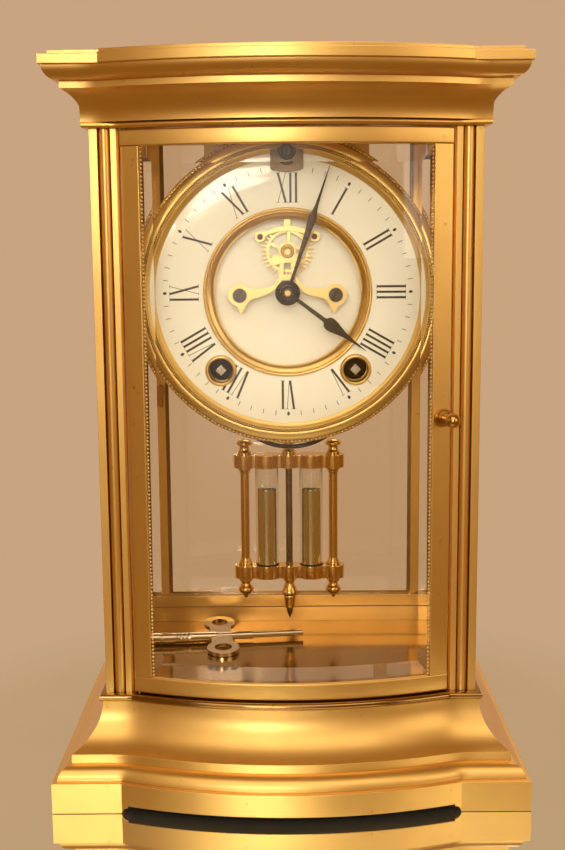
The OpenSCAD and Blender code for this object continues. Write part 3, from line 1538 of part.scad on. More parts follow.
// Double-ended key that lies on the floor plate
module winding_key() {
  lift = key_r + 0.05;
  stem_r = 1.25;
  hub_l = 15;
  hub_from = -2;
  hub_r = key_r - 0.8;
  neck_r = key_r - 0.4;
  wing_t = 1.6;
  wing_d = 12.6;
  neck_w = 1.35 * key_loop_r;
  hole_r = 3.4;
  socket = 2.9;
  socket_l = 9;
  small_socket = 1.5;
  tilt = asin((lift - wing_t / 2 - 0.1) / (wing_d + key_loop_r));
  ring_cuts = 4;
  ring_from = 12;
  ring_step = 1.5;
  color("silver") placed() translate([key_x, key_y, floor_z + lift]) rotate([0, 0, key_turn]) difference() {
    union() {
      translate([hub_from, 0, 0]) rotate([0, -90, 0])
        cylinder(r1 = neck_r, r2 = key_r, h = key_barrel_l, $fn = 48);
      translate([hub_from - 1, 0, 0]) rotate([0, 90, 0]) cylinder(r = hub_r, h = hub_l + 1, $fn = 48);
      translate([hub_from + hub_l - 1, 0, 0]) rotate([0, 90, 0])
        cylinder(r = stem_r, h = key_stem_l + 1, $fn = 48);
      rotate([tilt, 0, 0]) translate([0, 0, -wing_t / 2]) linear_extrude(height = wing_t) difference() {
        union() {
          for (side = [-1, 1]) translate([0, side * wing_d]) circle(r = key_loop_r, $fn = 64);
          square([neck_w, 2 * (wing_d - hole_r)], center = true);
        }
        for (side = [-1, 1]) translate([0, side * wing_d]) circle(r = hole_r, $fn = 64);
      }
    }
    for (i = [0 : ring_cuts - 1]) translate([hub_from - ring_from - ring_step * i, 0, 0]) rotate([0, 90, 0])
      rotate_extrude($fn = 48) translate([key_r - 0.35, 0]) square([1, 0.6]);
    translate([hub_from - key_barrel_l - 1, -socket / 2, -socket / 2]) cube([socket_l, socket, socket]);
    translate([hub_from + hub_l + key_stem_l - socket_l / 2, -small_socket / 2, -small_socket / 2])
      cube([socket_l, small_socket, small_socket]);
  }
}

base_plinth();
floor_plate();
top_plate();
cornice();
front_left_column();
front_right_column();
rear_left_column();
rear_right_column();
hinge_pins();
left_glass();
right_glass();
rear_crossbar();
front_top_rail();
front_bottom_rail();
front_left_stile();
front_right_stile();
front_glass();
front_latch();
rear_rails();
rear_stiles();
rear_glass();
rear_latch();
bezel();
dial_pan();
chapter_ring();
centre_ring();
centre_dial();
winding_ferrules();
regulator_arbor();
minute_hand();
cannon_pinion();
hour_hand();
hour_wheel();
minute_wheel();
hand_nut();
escape_wheel();
anchor();
pallet_stones();
anchor_arbor();
escape_bridge();
bridge_screws();
front_plate();
back_plate();
movement_straps();
time_barrel();
strike_barrel();
time_winding_arbor();
strike_winding_arbor();
going_train();
strike_train();
hammer();
gong();
gong_block();
suspension_cock();
pendulum_rod();
pendulum_frame();
pendulum_jars();
quicksilver();
rating_nut();
winding_key();
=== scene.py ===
"""Crystal regulator clock: its moulded, turned and glazed pieces, their finishes, and the studio round it.

Sizes are in millimetres until a piece is set; a set piece is in metres in the frame of the solids.
"""

from __future__ import annotations

import json
import logging
import math
import sys
from dataclasses import dataclass
from enum import Enum
from typing import Iterable, Sequence

import bmesh
import bpy
from bmesh.types import BMEdge, BMesh, BMVert
from mathutils import Matrix, Vector

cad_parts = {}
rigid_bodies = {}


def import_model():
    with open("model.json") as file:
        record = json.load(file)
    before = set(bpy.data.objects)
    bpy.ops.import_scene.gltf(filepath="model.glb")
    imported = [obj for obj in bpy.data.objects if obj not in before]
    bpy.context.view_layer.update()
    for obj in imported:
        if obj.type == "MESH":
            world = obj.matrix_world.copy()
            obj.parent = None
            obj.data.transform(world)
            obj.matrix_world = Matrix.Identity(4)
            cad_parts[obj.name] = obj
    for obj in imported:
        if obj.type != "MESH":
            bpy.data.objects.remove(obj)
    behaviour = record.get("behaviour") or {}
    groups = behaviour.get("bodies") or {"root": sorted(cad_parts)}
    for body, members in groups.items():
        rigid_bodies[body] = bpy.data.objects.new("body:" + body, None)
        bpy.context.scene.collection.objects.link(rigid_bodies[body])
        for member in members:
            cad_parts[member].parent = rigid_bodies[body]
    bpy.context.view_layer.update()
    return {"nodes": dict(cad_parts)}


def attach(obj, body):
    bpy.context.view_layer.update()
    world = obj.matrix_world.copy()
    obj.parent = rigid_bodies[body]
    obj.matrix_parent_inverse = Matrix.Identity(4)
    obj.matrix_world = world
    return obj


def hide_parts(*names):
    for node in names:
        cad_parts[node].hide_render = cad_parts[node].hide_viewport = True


LOG = logging.getLogger("clock")

Point = tuple[float, float]
Corner = tuple[float, float, float]
Colour = tuple[float, float, float]
Socket = bpy.types.NodeSocket

# Left and right
SIDES = (-1.0, 1.0)
# A millimetre in metres, distance at which points merge, width of an eased edge, and reach of a crisp turn
MM, MERGE, EASE, CRISP = 0.001, 0.0005, 0.2, 0.02
# Pieces of a rounded corner, and share of an edge that it may take up
ROUND_PARTS, ROUND_SHARE = 4, 0.45
# Angle in degrees from which a piece has no flat faces to keep, and the angle that leaves beads smooth
ROUND, BEAD_SHARP = 45.0, 80.0
# Pieces in a full turn of a broad ring of the dial, of a small rim, and of a thin turned part
BROAD_TURN, RIM_TURN, THIN_TURN = 192, 64, 48
# Range that most of a noise lies in, and how rough the noise is
MIDDLE, NOISE_ROUGH = (0.3, 0.7), 0.6
# Places of the share, both colours and the result on a colour mix node
MIX_SHARE, MIX_FIRST, MIX_SECOND, MIX_RESULT = 0, 6, 7, 2

# Dial frame: x to the right, y up and z towards the viewer, from the centre of the dial
DIAL = Matrix(((1, 0, 0, 0), (0, 0, -1, 5), (0, 1, 0, 181.5), (0, 0, 0, 1)))


class Body(Enum):
    """Moving bodies of the clock."""

    CASE = "case"
    FRONT_DOOR = "front_door"
    MINUTE_HAND = "minute_hand"
    HOUR_HAND = "hour_hand"
    PENDULUM = "pendulum"


class Slot(Enum):
    """Material slots of the record."""

    CASE = "case_brass"
    DIAL = "dial_brass"
    MOVEMENT = "movement_brass"
    GLASS = "clear_glass"
    PORCELAIN = "porcelain"
    BLUED = "blued_steel"
    STEEL = "steel"
    GONG = "gong_steel"
    NICKEL = "nickel"
    QUICKSILVER = "quicksilver"
    GARNET = "garnet"


class Grain(Enum):
    """Way the polishing lines of a metal run, as how far noise is squeezed along x, y and z."""

    ALONG_X = (0.02, 1.0, 1.0)
    ALONG_Z = (1.0, 1.0, 0.02)
    EVEN = (1.0, 1.0, 1.0)


class Tree:
    """Node tree of a material or of the background, with short ways to add what both need."""

    def __init__(self, tree: bpy.types.NodeTree) -> None:
        """Takes hold of the tree's nodes and links."""
        self.nodes, self.links = tree.nodes, tree.links

    def math(self, operation: str, first: Socket, second: Socket) -> Socket:
        """Works out a value from two others.

        Args:
            operation: What is done with them.
            first: One value.
            second: The other.

        Returns:
            The result.
        """
        node = self.nodes.new("ShaderNodeMath")
        node.operation = operation
        self.links.new(first, node.inputs[0])
        self.links.new(second, node.inputs[1])
        return node.outputs[0]

    def vector(self, operation: str, first: Socket, second: Corner | None = None) -> Socket:
        """Works out a vector, or the value of a dot product or a length.

        Args:
            operation: What is done.
            first: A direction.
            second: A set vector, where the operation takes two.

        Returns:
            The vector or value.
        """
        node = self.nodes.new("ShaderNodeVectorMath")
        node.operation = operation
        self.links.new(first, node.inputs[0])
        if second is not None:
            node.inputs[1].default_value = second
        return node.outputs["Value" if operation in ("DOT_PRODUCT", "LENGTH") else "Vector"]

    def span(self, source: Socket, reach: Point, to: Point = (0.0, 1.0), soft: bool = False) -> Socket:
        """Maps a value from one range to another.

        Args:
            source: The value.
            reach: Range that it is read over.
            to: Range that it is spread to.
            soft: Whether it starts and ends gently.

        Returns:
            The mapped value.
        """
        node = self.nodes.new("ShaderNodeMapRange")
        node.interpolation_type = "SMOOTHSTEP" if soft else "LINEAR"
        for socket, value in zip(("From Min", "From Max", "To Min", "To Max"), (*reach, *to)):
            node.inputs[socket].default_value = value
        self.links.new(source, node.inputs["Value"])
        return node.outputs["Result"]

    def blend(self, share: Socket, first: Colour | Socket, second: Colour | Socket) -> Socket:
        """Blends two colours.

        Args:
            share: Share of the second colour.
            first: Colour where the share is none.
            second: Colour where the share is full.

        Returns:
            The blended colour.
        """
        node = self.nodes.new("ShaderNodeMix")
        node.data_type = "RGBA"
        self.links.new(share, node.inputs[MIX_SHARE])
        for place, colour in ((MIX_FIRST, first), (MIX_SECOND, second)):
            if isinstance(colour, Socket):
                self.links.new(colour, node.inputs[place])
            else:
                node.inputs[place].default_value = (*colour, 1.0)
        return node.outputs[MIX_RESULT]


class Recipe(Tree):
    """Node tree of one material, with short ways to add what the finishes share."""

    def __init__(self, name: str) -> None:
        """Starts a material with its main shader.

        Args:
            name: Name of the material.
        """
        self.material = bpy.data.materials.new(name)
        self.material.use_nodes = True
        super().__init__(self.material.node_tree)
        self.shader = self.nodes["Principled BSDF"]
        self.place = self.nodes.new("ShaderNodeTexCoord").outputs["Object"]

    def fix(self, name: str, value: float | tuple[float, ...]) -> None:
        """Sets a constant on the shader."""
        self.shader.inputs[name].default_value = value

    def feed(self, name: str, value: Socket) -> None:
        """Links a value to the shader."""
        self.links.new(value, self.shader.inputs[name])

    def noise(self, scale: float, detail: float, squeeze: Corner = (1.0, 1.0, 1.0)) -> Socket:
        """Adds noise on the piece's own coordinates.

        Args:
            scale: Spots in a metre.
            detail: Finer layers of the noise.
            squeeze: Scale along each axis.

        Returns:
            The noise value.
        """
        mapping = self.nodes.new("ShaderNodeMapping")
        mapping.inputs["Scale"].default_value = squeeze
        texture = self.nodes.new("ShaderNodeTexNoise")
        for name, value in (("Scale", scale), ("Detail", detail), ("Roughness", NOISE_ROUGH)):
            texture.inputs[name].default_value = value
        self.links.new(self.place, mapping.inputs["Vector"])
        self.links.new(mapping.outputs["Vector"], texture.inputs["Vector"])
        return texture.outputs["Fac"]

    def along(self, axis: str) -> Socket:
        """Finds the place along one axis of the piece's own coordinates.

        Args:
            axis: Name of the axis.

        Returns:
            The place in metres.
        """
        node = self.nodes.new("ShaderNodeSeparateXYZ")
        self.links.new(self.place, node.inputs[0])
        return node.outputs[axis]

    def recess_shade(self, reach: float) -> Socket:
        """Finds recesses no wider than a reach in millimetres by ambient occlusion, as a mask for painted
        shade.

        Args:
            reach: How far the walls of a recess are looked for.

        Returns:
            One in a deep recess, nought in the open.
        """
        node = self.nodes.new("ShaderNodeAmbientOcclusion")
        node.samples = 4
        node.inputs["Distance"].default_value = reach * MM
        return self.span(node.outputs["AO"], (0.25, 0.85), (1.0, 0.0))

    def relief(self, height: Socket, strength: float, depth: float) -> None:
        """Raises the surface by a value.

        Args:
            height: The value.
            strength: How strongly it shows.
            depth: How far it raises the surface, in millimetres.
        """
        node = self.nodes.new("ShaderNodeBump")
        node.inputs["Strength"].default_value = strength
        node.inputs["Distance"].default_value = depth * MM
        self.links.new(height, node.inputs["Height"])
        self.feed("Normal", node.outputs["Normal"])

    def clear(self, share: Socket, tint: Colour) -> None:
        """Lets light straight through in part.

        Args:
            share: Share that goes through.
            tint: Colour that it takes on.
        """
        through = self.nodes.new("ShaderNodeBsdfTransparent")
        through.inputs["Color"].default_value = (*tint, 1.0)
        mix = self.nodes.new("ShaderNodeMixShader")
        for socket, value in zip(mix.inputs, (share, self.shader.outputs[0], through.outputs[0])):
            self.links.new(value, socket)
        self.links.new(mix.outputs[0], self.nodes["Material Output"].inputs["Surface"])


@dataclass(frozen=True)
class Finish:
    """What a piece is dressed in: a material made once, and its slot in the record."""

    name: str
    slot: Slot
    colour: Colour

    def material(self) -> bpy.types.Material:
        """Gives the material, which is made when it is first asked for."""
        if self.name not in bpy.data.materials:
            self.fill(Recipe(self.name))
        return bpy.data.materials[self.name]

    def fill(self, recipe: Recipe) -> None:
        """Fills in the material's nodes, each kind of finish in its own way."""
        raise NotImplementedError


@dataclass(frozen=True)
class Metal(Finish):
    """Polished metal with polishing lines and duller patches, darkened in its recesses as painted shade.

    Where a depth is given, the metal is painted dark behind it, as painted shade.
    """

    shade: Colour
    roughness: float
    spread: float = 0.05
    grain: Grain = Grain.EVEN
    lines: float = 1600.0
    patch: float = 22.0
    tarnish: float = 0.3
    # reach of the painted shade in recesses, in millimetres
    reach: float = 0.5
    relief: float = 0.006
    specks: float = 0.45
    speck_scale: float = 310.0
    painted_shade_from: float | None = None
    painted_shade_lead: float = 0.4
    dark_share: float = 0.45
    lacquer: float = 0.0

    def fill(self, recipe: Recipe) -> None:
        """Fills in the metal's nodes.

        Args:
            recipe: Material to fill in.
        """
        recipe.fix("Metallic", 1.0)
        recipe.fix("Coat Weight", self.lacquer)
        recipe.fix("Coat Roughness", self.roughness)
        patches = recipe.noise(self.patch, 3.0)
        lines = recipe.noise(self.lines, 2.0, self.grain.value)
        tarnish = recipe.span(patches, (0.45, 0.75), (0.0, self.tarnish))
        worn = recipe.blend(tarnish, self.colour, self.shade)
        dark: Colour = tuple(self.dark_share * part for part in self.shade)
        spots = recipe.span(recipe.noise(self.speck_scale, 2.0), (0.7, 0.78), (0.0, self.specks))
        aged = recipe.blend(spots, worn, dark)
        # painted shade: dark behind a set depth, where the piece runs into a dark hole
        if self.painted_shade_from is not None:
            depth = (self.painted_shade_from * MM, (self.painted_shade_from + self.painted_shade_lead) * MM)
            aged = recipe.blend(recipe.span(recipe.along("Y"), depth), aged, dark)
        # painted shade: recesses found by ambient occlusion are darkened
        recipe.feed("Base Color", recipe.blend(recipe.recess_shade(self.reach), aged, dark))
        dull = recipe.span(patches, (0.35, 0.7), (self.roughness, self.roughness + self.spread))
        recipe.feed("Roughness", recipe.math("ADD", dull, recipe.span(lines, MIDDLE, (-0.008, 0.012))))
        recipe.relief(lines, self.relief, 0.02)


@dataclass(frozen=True)
class Porcelain(Finish):
    """Cream glaze, a little uneven, with faint age specks."""

    shade: Colour
    stain: Colour = (0.45, 0.34, 0.2)

    def fill(self, recipe: Recipe) -> None:
        """Fills in the glaze's nodes.

        Args:
            recipe: Material to fill in.
        """
        cloudy = recipe.noise(45.0, 5.0)
        specks = recipe.noise(900.0, 1.0)
        glaze = recipe.blend(recipe.span(cloudy, (0.35, 0.7)), self.colour, self.shade)
        aged = recipe.span(specks, (0.77, 0.82), (0.0, 0.5))
        recipe.feed("Base Color", recipe.blend(aged, glaze, self.stain))
        recipe.feed("Roughness", recipe.span(cloudy, MIDDLE, (0.06, 0.16)))
        recipe.fix("Coat Weight", 0.5)
        recipe.fix("Coat Roughness", 0.04)
        recipe.relief(cloudy, 0.08, 0.3)


@dataclass(frozen=True)
class Paint(Finish):
    """Fired black paint, thinner in places."""

    thin: Colour

    def fill(self, recipe: Recipe) -> None:
        """Fills in the paint's nodes.

        Args:
            recipe: Material to fill in.
        """
        wear = recipe.noise(700.0, 5.0)
        worn = recipe.span(wear, (0.5, 0.8), (0.0, 0.7))
        recipe.feed("Base Color", recipe.blend(worn, self.colour, self.thin))
        recipe.feed("Roughness", recipe.span(wear, MIDDLE, (0.25, 0.45)))


@dataclass(frozen=True)
class Glass(Finish):
    """Clear glass, faintly wavy, that lets the lamps through."""

    wave: float = 0.002

    def fill(self, recipe: Recipe) -> None:
        """Fills in the glass's nodes.

        Args:
            recipe: Material to fill in.
        """
        for name, value in (("Roughness", 0.0), ("IOR", 1.5), ("Transmission Weight", 1.0)):
            recipe.fix(name, value)
        recipe.fix("Base Color", (*self.colour, 1.0))
        recipe.relief(recipe.noise(22.0, 2.0), self.wave, 1.0)
        rays = recipe.nodes.new("ShaderNodeLightPath")
        recipe.clear(rays.outputs["Is Shadow Ray"], self.colour)


@dataclass(frozen=True)
class Stone(Finish):
    """Dark red polished stone with cloudy depth."""

    shade: Colour

    def fill(self, recipe: Recipe) -> None:
        """Fills in the stone's nodes.

        Args:
            recipe: Material to fill in.
        """
        depth = recipe.noise(600.0, 3.0)
        recipe.feed("Base Color", recipe.blend(recipe.span(depth, (0.35, 0.65)), self.colour, self.shade))
        recipe.feed("Roughness", recipe.span(depth, MIDDLE, (0.04, 0.12)))
        recipe.fix("Coat Weight", 1.0)


GOLD: Colour = (0.94, 0.57, 0.145)
OLD_GOLD: Colour = (0.56, 0.26, 0.03)
CASE_BRASS = Metal("case_brass_satin", Slot.CASE, GOLD, OLD_GOLD, 0.35, grain=Grain.ALONG_X, lacquer=1.0)
UPRIGHT_BRASS = Metal(
    "upright_brass_satin", Slot.CASE, GOLD, OLD_GOLD, 0.35, grain=Grain.ALONG_Z, lacquer=1.0
)
# floor plate brass darkened all over: painted shadow of the dial and movement falling on it
SHADED_FLOOR_BRASS = Metal("floor_brass_painted_shadow", Slot.CASE, (0.40, 0.235, 0.08), (0.3, 0.16, 0.045), 0.1)
KNOB_BRASS = Metal("knob_brass_worn", Slot.CASE, (0.60, 0.34, 0.1), (0.33, 0.16, 0.04), 0.22)
GILT = Metal("dial_gilt", Slot.DIAL, (0.93, 0.67, 0.27), (0.62, 0.36, 0.1), 0.27, reach=0.6)
BEZEL_GILT = Metal("bezel_gilt_satin", Slot.DIAL, (0.94, 0.66, 0.24), (0.62, 0.33, 0.07), 0.4)
BEAD_GILT = Metal(
    "bead_gilt", Slot.DIAL, (0.96, 0.70, 0.30), (0.7, 0.40, 0.12), 0.32, reach=0.12, specks=0.0
)
PALE_BRASS = Metal("bridge_brass_satin", Slot.DIAL, (0.93, 0.71, 0.33), (0.8, 0.54, 0.2), 0.33)
NUT_BRASS = Metal("hand_nut_brass", Slot.DIAL, (0.2, 0.135, 0.07), (0.11, 0.07, 0.035), 0.3)
PLATE_BRASS = Metal("movement_brass_satin", Slot.MOVEMENT, (0.82, 0.55, 0.21), (0.5, 0.28, 0.08), 0.33)
PENDULUM_BRASS = Metal("pendulum_brass", Slot.MOVEMENT, (0.90, 0.58, 0.19), (0.55, 0.29, 0.06), 0.17)
STEEL = Metal("arbor_steel", Slot.STEEL, (0.58, 0.55, 0.5), (0.32, 0.26, 0.2), 0.2)
ROD_STEEL = Metal(
    "pendulum_rod_steel", Slot.STEEL, (0.34, 0.25, 0.16), (0.12, 0.075, 0.04), 0.2, patch=150.0, tarnish=0.9
)
# winding arbors painted dark behind 16.2 mm: painted shade inside the winding holes
WINDING_STEEL = Metal(
    "winding_steel",
    Slot.STEEL,
    (0.74, 0.70, 0.64),
    (0.09, 0.055, 0.03),
    0.16,
    tarnish=0.15,
    painted_shade_from=-16.2,
)
# near-black plate inside the hollow base: painted shade standing for the dark in the hollow
SHADE_BLACK_STEEL = Metal("bottom_plate_painted_shade", Slot.STEEL, (0.012, 0.01, 0.009), (0.02, 0.016, 0.012), 0.6)
DARK_STEEL = Metal("screw_steel_dark", Slot.STEEL, (0.13, 0.11, 0.1), (0.07, 0.055, 0.05), 0.28)
BLUED = Metal(
    "hand_steel_dark",
    Slot.BLUED,
    (0.075, 0.048, 0.032),
    (0.03, 0.02, 0.016),
    0.24,
    patch=300.0,
    tarnish=0.9,
)
GREYED = Metal("hour_hand_steel", Slot.BLUED, (0.10, 0.083, 0.065), (0.05, 0.04, 0.032), 0.26)
GONG_STEEL = Metal("gong_steel_dark", Slot.GONG, (0.085, 0.065, 0.05), (0.05, 0.04, 0.035), 0.34)
NICKEL = Metal("key_nickel_worn", Slot.NICKEL, (0.72, 0.61, 0.48), (0.42, 0.3, 0.17), 0.14, patch=90.0)
MERCURY = Metal(
    "quicksilver_bright", Slot.QUICKSILVER, (0.93, 0.91, 0.86), (0.78, 0.75, 0.68), 0.06, specks=0.0
)
ENAMEL = Porcelain("dial_porcelain", Slot.PORCELAIN, (0.95, 0.93, 0.84), (0.92, 0.89, 0.78))
BLACK = Paint("numeral_black", Slot.PORCELAIN, (0.032, 0.026, 0.02), (0.14, 0.11, 0.075))
PANE = Glass("pane_glass", Slot.GLASS, (0.955, 0.925, 0.86))
VIAL = Glass("vial_glass", Slot.GLASS, (0.97, 0.97, 0.94))
RUBY = Stone("pallet_garnet", Slot.GARNET, (0.20, 0.012, 0.01), (0.09, 0.006, 0.006))


def arc(centre: Point, radius: float, start: float, end: float, parts: int) -> list[Corner]:
    """Points along a circular arc, as corners of a profile.

    Args:
        centre: Centre of the circle.
        radius: Its radius.
        start: First angle in degrees.
        end: Last angle in degrees.
        parts: How many pieces the arc is cut into.

    Returns:
        The corners, none of them rounded.
    """
    turns = [math.radians(start + (end - start) * k / parts) for k in range(parts + 1)]
    return [(centre[0] + radius * math.cos(a), centre[1] + radius * math.sin(a), 0.0) for a in turns]


def rounded(outline: Sequence[Corner], closed: bool = True) -> list[Point]:
    """Rounds the corners of an outline.

    Args:
        outline: Corners as x, y and how far back the rounding starts.
        closed: Whether the last corner joins the first.

    Returns:
        The points of the rounded outline.
    """
    path: list[Point] = []
    last = len(outline) - 1
    for i, (x, y, ease) in enumerate(outline):
        here = Vector((x, y))
        if ease <= 0.0 or (not closed and i in (0, last)):
            path.append((x, y))
            continue
        before = Vector(outline[i - 1][:2]) - here
        after = Vector(outline[(i + 1) % len(outline)][:2]) - here
        reach = min(ease, ROUND_SHARE * before.length, ROUND_SHARE * after.length)
        first = here + before.normalized() * reach
        second = here + after.normalized() * reach
        for k in range(ROUND_PARTS + 1):
            t = k / ROUND_PARTS
            spot = first * (1 - t) ** 2 + here * (2 * t * (1 - t)) + second * t**2
            path.append((spot.x, spot.y))
    return path


def outward(bm: BMesh) -> None:
    """Turns every face of a mesh outwards."""
    bmesh.ops.recalc_face_normals(bm, faces=bm.faces[:])


def settle(bm: BMesh) -> BMesh:
    """Merges doubled points and turns faces outwards.

    Args:
        bm: The mesh.

    Returns:
        The same mesh.
    """
    bmesh.ops.remove_doubles(bm, verts=bm.verts[:], dist=MERGE)
    outward(bm)
    return bm


def moved(bm: BMesh, matrix: Matrix) -> BMesh:
    """Carries a mesh by a matrix and gives it back."""
    bmesh.ops.transform(bm, matrix=matrix, verts=bm.verts[:])
    return bm


def soften(bm: BMesh, edges: list[BMEdge]) -> None:
    """Takes the sharpness off some edges."""
    bmesh.ops.bevel(bm, geom=edges, offset=EASE, affect="EDGES", segments=2, profile=0.5, material=-1)


def edges_above(bm: BMesh, level: float) -> list[BMEdge]:
    """Finds the edges that lie wholly above a level."""
    return [edge for edge in bm.edges if min(vert.co.z for vert in edge.verts) > level]


def as_mesh(bm: BMesh, name: str) -> bpy.types.Mesh:
    """Makes mesh data of a mesh that is being built.

    Args:
        bm: The mesh, which is used up.
        name: Name of the data.

    Returns:
        The data.
    """
    mesh = bpy.data.meshes.new(name)
    bm.to_mesh(mesh)
    bm.free()
    return mesh


def reopened(mesh: bpy.types.Mesh) -> BMesh:
    """Takes mesh data up again to build on.

    Args:
        mesh: The data, which is used up.

    Returns:
        The mesh.
    """
    bm = bmesh.new()
    bm.from_mesh(mesh)
    bpy.data.meshes.remove(mesh)
    return bm


def placed(name: str, data: bpy.types.ID) -> bpy.types.Object:
    """Puts an object in the scene.

    Args:
        name: Its name.
        data: The mesh, lamp or camera that it carries.

    Returns:
        The object.
    """
    item = bpy.data.objects.new(name, data)
    bpy.context.scene.collection.objects.link(item)
    return item


def chain(bm: BMesh, spots: Iterable[Vector], closed: bool) -> tuple[list[BMVert], list[BMEdge]]:
    """Lays a chain of edges.

    Args:
        bm: Mesh that takes the chain.
        spots: Its points.
        closed: Whether the last point joins the first.

    Returns:
        The points and edges laid.
    """
    verts = [bm.verts.new(spot) for spot in spots]
    ends = verts[1:] + verts[:1] if closed else verts[1:]
    return verts, [bm.edges.new(pair) for pair in zip(verts, ends)]


def close_ends(bm: BMesh) -> None:
    """Fills every open loop of a mesh."""
    bmesh.ops.holes_fill(bm, edges=[edge for edge in bm.edges if edge.is_boundary], sides=0)


def turned(profile: Sequence[Point], steps: int, closed: bool = True) -> BMesh:
    """Turns a profile about the z axis, as on a lathe.

    Args:
        profile: Points as radius and height.
        steps: Pieces in the full turn.
        closed: Whether the profile is a loop; if not, it runs from axis to axis.

    Returns:
        The turned mesh.
    """
    bm = bmesh.new()
    verts, edges = chain(bm, [Vector((r, 0.0, h)) for r, h in profile], closed)
    bmesh.ops.spin(
        bm, geom=verts + edges, cent=(0, 0, 0), axis=(0, 0, 1), angle=math.tau, steps=steps, use_merge=True
    )
    return settle(bm)


def lathe(
    outline: Sequence[Corner], spot: Corner = (0.0, 0.0, 0.0), steps: int = THIN_TURN, closed: bool = True
) -> BMesh:
    """Turns an outline with rounded corners about an upright axis.

    Args:
        outline: Corners as radius, height and how far back the rounding starts.
        spot: Where the axis stands.
        steps: Pieces in the full turn.
        closed: Whether the outline is a loop; if not, it runs from axis to axis.

    Returns:
        The turned mesh.
    """
    return moved(turned(rounded(outline, closed), steps, closed), Matrix.Translation(spot))


def swung(profile: Sequence[Point], centre: Point, start: float, sweep: float, steps: int) -> BMesh:
    """Swings a closed profile part of the way round an upright axis and closes both ends.

    Args:
        profile: Points as radius and height.
        centre: Where the axis stands.
        start: First angle in degrees.
        sweep: Angle swung through in degrees.
        steps: Pieces in the swing.

    Returns:
        The swung mesh.
    """
    bm = bmesh.new()
    way = Vector((math.cos(math.radians(start)), math.sin(math.radians(start)), 0.0))
    axis = Vector((*centre, 0.0))
    verts, edges = chain(bm, [axis + way * r + Vector((0.0, 0.0, h)) for r, h in profile], True)
    angle = math.radians(sweep)
    bmesh.ops.spin(
        bm, geom=verts + edges, cent=axis, axis=(0, 0, 1), angle=angle, steps=steps, use_merge=False
    )
    close_ends(bm)
    return settle(bm)


def swept(rings: Sequence[Sequence[Vector]]) -> BMesh:
    """Draws a skin through rings of points that match one to one and caps both ends.

    Args:
        rings: The rings, each closed, all with as many points.

    Returns:
        The closed mesh.
    """
    bm = bmesh.new()
    verts, edges = chain(bm, rings[0], True)
    bm.faces.new(verts)
    for ring in rings[1:]:
        grown = bmesh.ops.extrude_edge_only(bm, edges=edges)["geom"]
        fresh = [item for item in grown if isinstance(item, BMVert)]
        order = {vert: i for i, vert in enumerate(verts)}
        following: list[BMVert] = list(verts)
        for vert in fresh:
            old = next(e.other_vert(vert) for e in vert.link_edges if e.other_vert(vert) in order)
            following[order[old]] = vert
        for vert, spot in zip(following, ring):
            vert.co = spot
        edges = [bm.edges.get((a, b)) for a, b in zip(following, following[1:] + following[:1])]
        verts = following
    bm.faces.new(verts)
    outward(bm)
    return bm


def slab(outline: Sequence[Point], low: float, high: float) -> BMesh:
    """Raises an outline to a slab.

    Args:
        outline: Its points.
        low: Height of its under side.
        high: Height of its top.

    Returns:
        The closed slab.
    """
    bm = bmesh.new()
    verts, edges = chain(bm, [Vector((x, y, low)) for x, y in outline], True)
    bm.faces.new(verts)
    grown = bmesh.ops.extrude_edge_only(bm, edges=edges)["geom"]
    top = [item for item in grown if isinstance(item, BMVert)]
    bmesh.ops.translate(bm, vec=(0.0, 0.0, high - low), verts=top)
    close_ends(bm)
    return settle(bm)


def cut(bm: BMesh, spot: Vector, normal: Vector) -> None:
    """Cuts away one side of a mesh and closes the cut.

    Args:
        bm: The mesh.
        spot: A point on the plane of the cut.
        normal: Way that the side cut away lies in.
    """
    everything = bm.verts[:] + bm.edges[:] + bm.faces[:]
    bmesh.ops.bisect_plane(
        bm, geom=everything, dist=MERGE, plane_co=spot, plane_no=normal, clear_outer=True
    )
    close_ends(bm)


def joined(parts: Iterable[BMesh]) -> BMesh:
    """Puts several meshes into one.

    Args:
        parts: The meshes, which are used up.

    Returns:
        The mesh of them all.
    """
    whole = bmesh.new()
    for part in parts:
        mesh = as_mesh(part, "joining")
        whole.from_mesh(mesh)
        bpy.data.meshes.remove(mesh)
    return whole


def drilled(bm: BMesh, cutters: Sequence[BMesh]) -> BMesh:
    """Takes cutters out of a mesh.

    Args:
        bm: The closed mesh.
        cutters: Closed meshes to take out.

    Returns:
        What is left.
    """
    work = placed("drilled", as_mesh(bm, "drilled"))
    tool = placed("drill", as_mesh(joined(cutters), "drill"))
    modifier = work.modifiers.new("drill", "BOOLEAN")
    modifier.operation = "DIFFERENCE"
    modifier.solver = "EXACT"
    modifier.object = tool
    left = bpy.data.meshes.new_from_object(work.evaluated_get(bpy.context.evaluated_depsgraph_get()))
    for item in (work, tool):
        bpy.data.meshes.remove(item.data)
    return reopened(left)


def rod(radius: float, low: float, high: float, spot: Point = (0.0, 0.0)) -> BMesh:
    """Makes a plain round cutter.

    Args:
        radius: Its radius.
        low: Where it starts along z.
        high: Where it ends.
        spot: Its centre.

    Returns:
        The closed mesh.
    """
    circle = arc(spot, radius, 0.0, 360.0 * (1 - 1 / THIN_TURN), THIN_TURN - 1)
    return slab([(x, y) for x, y, _ in circle], low, high)


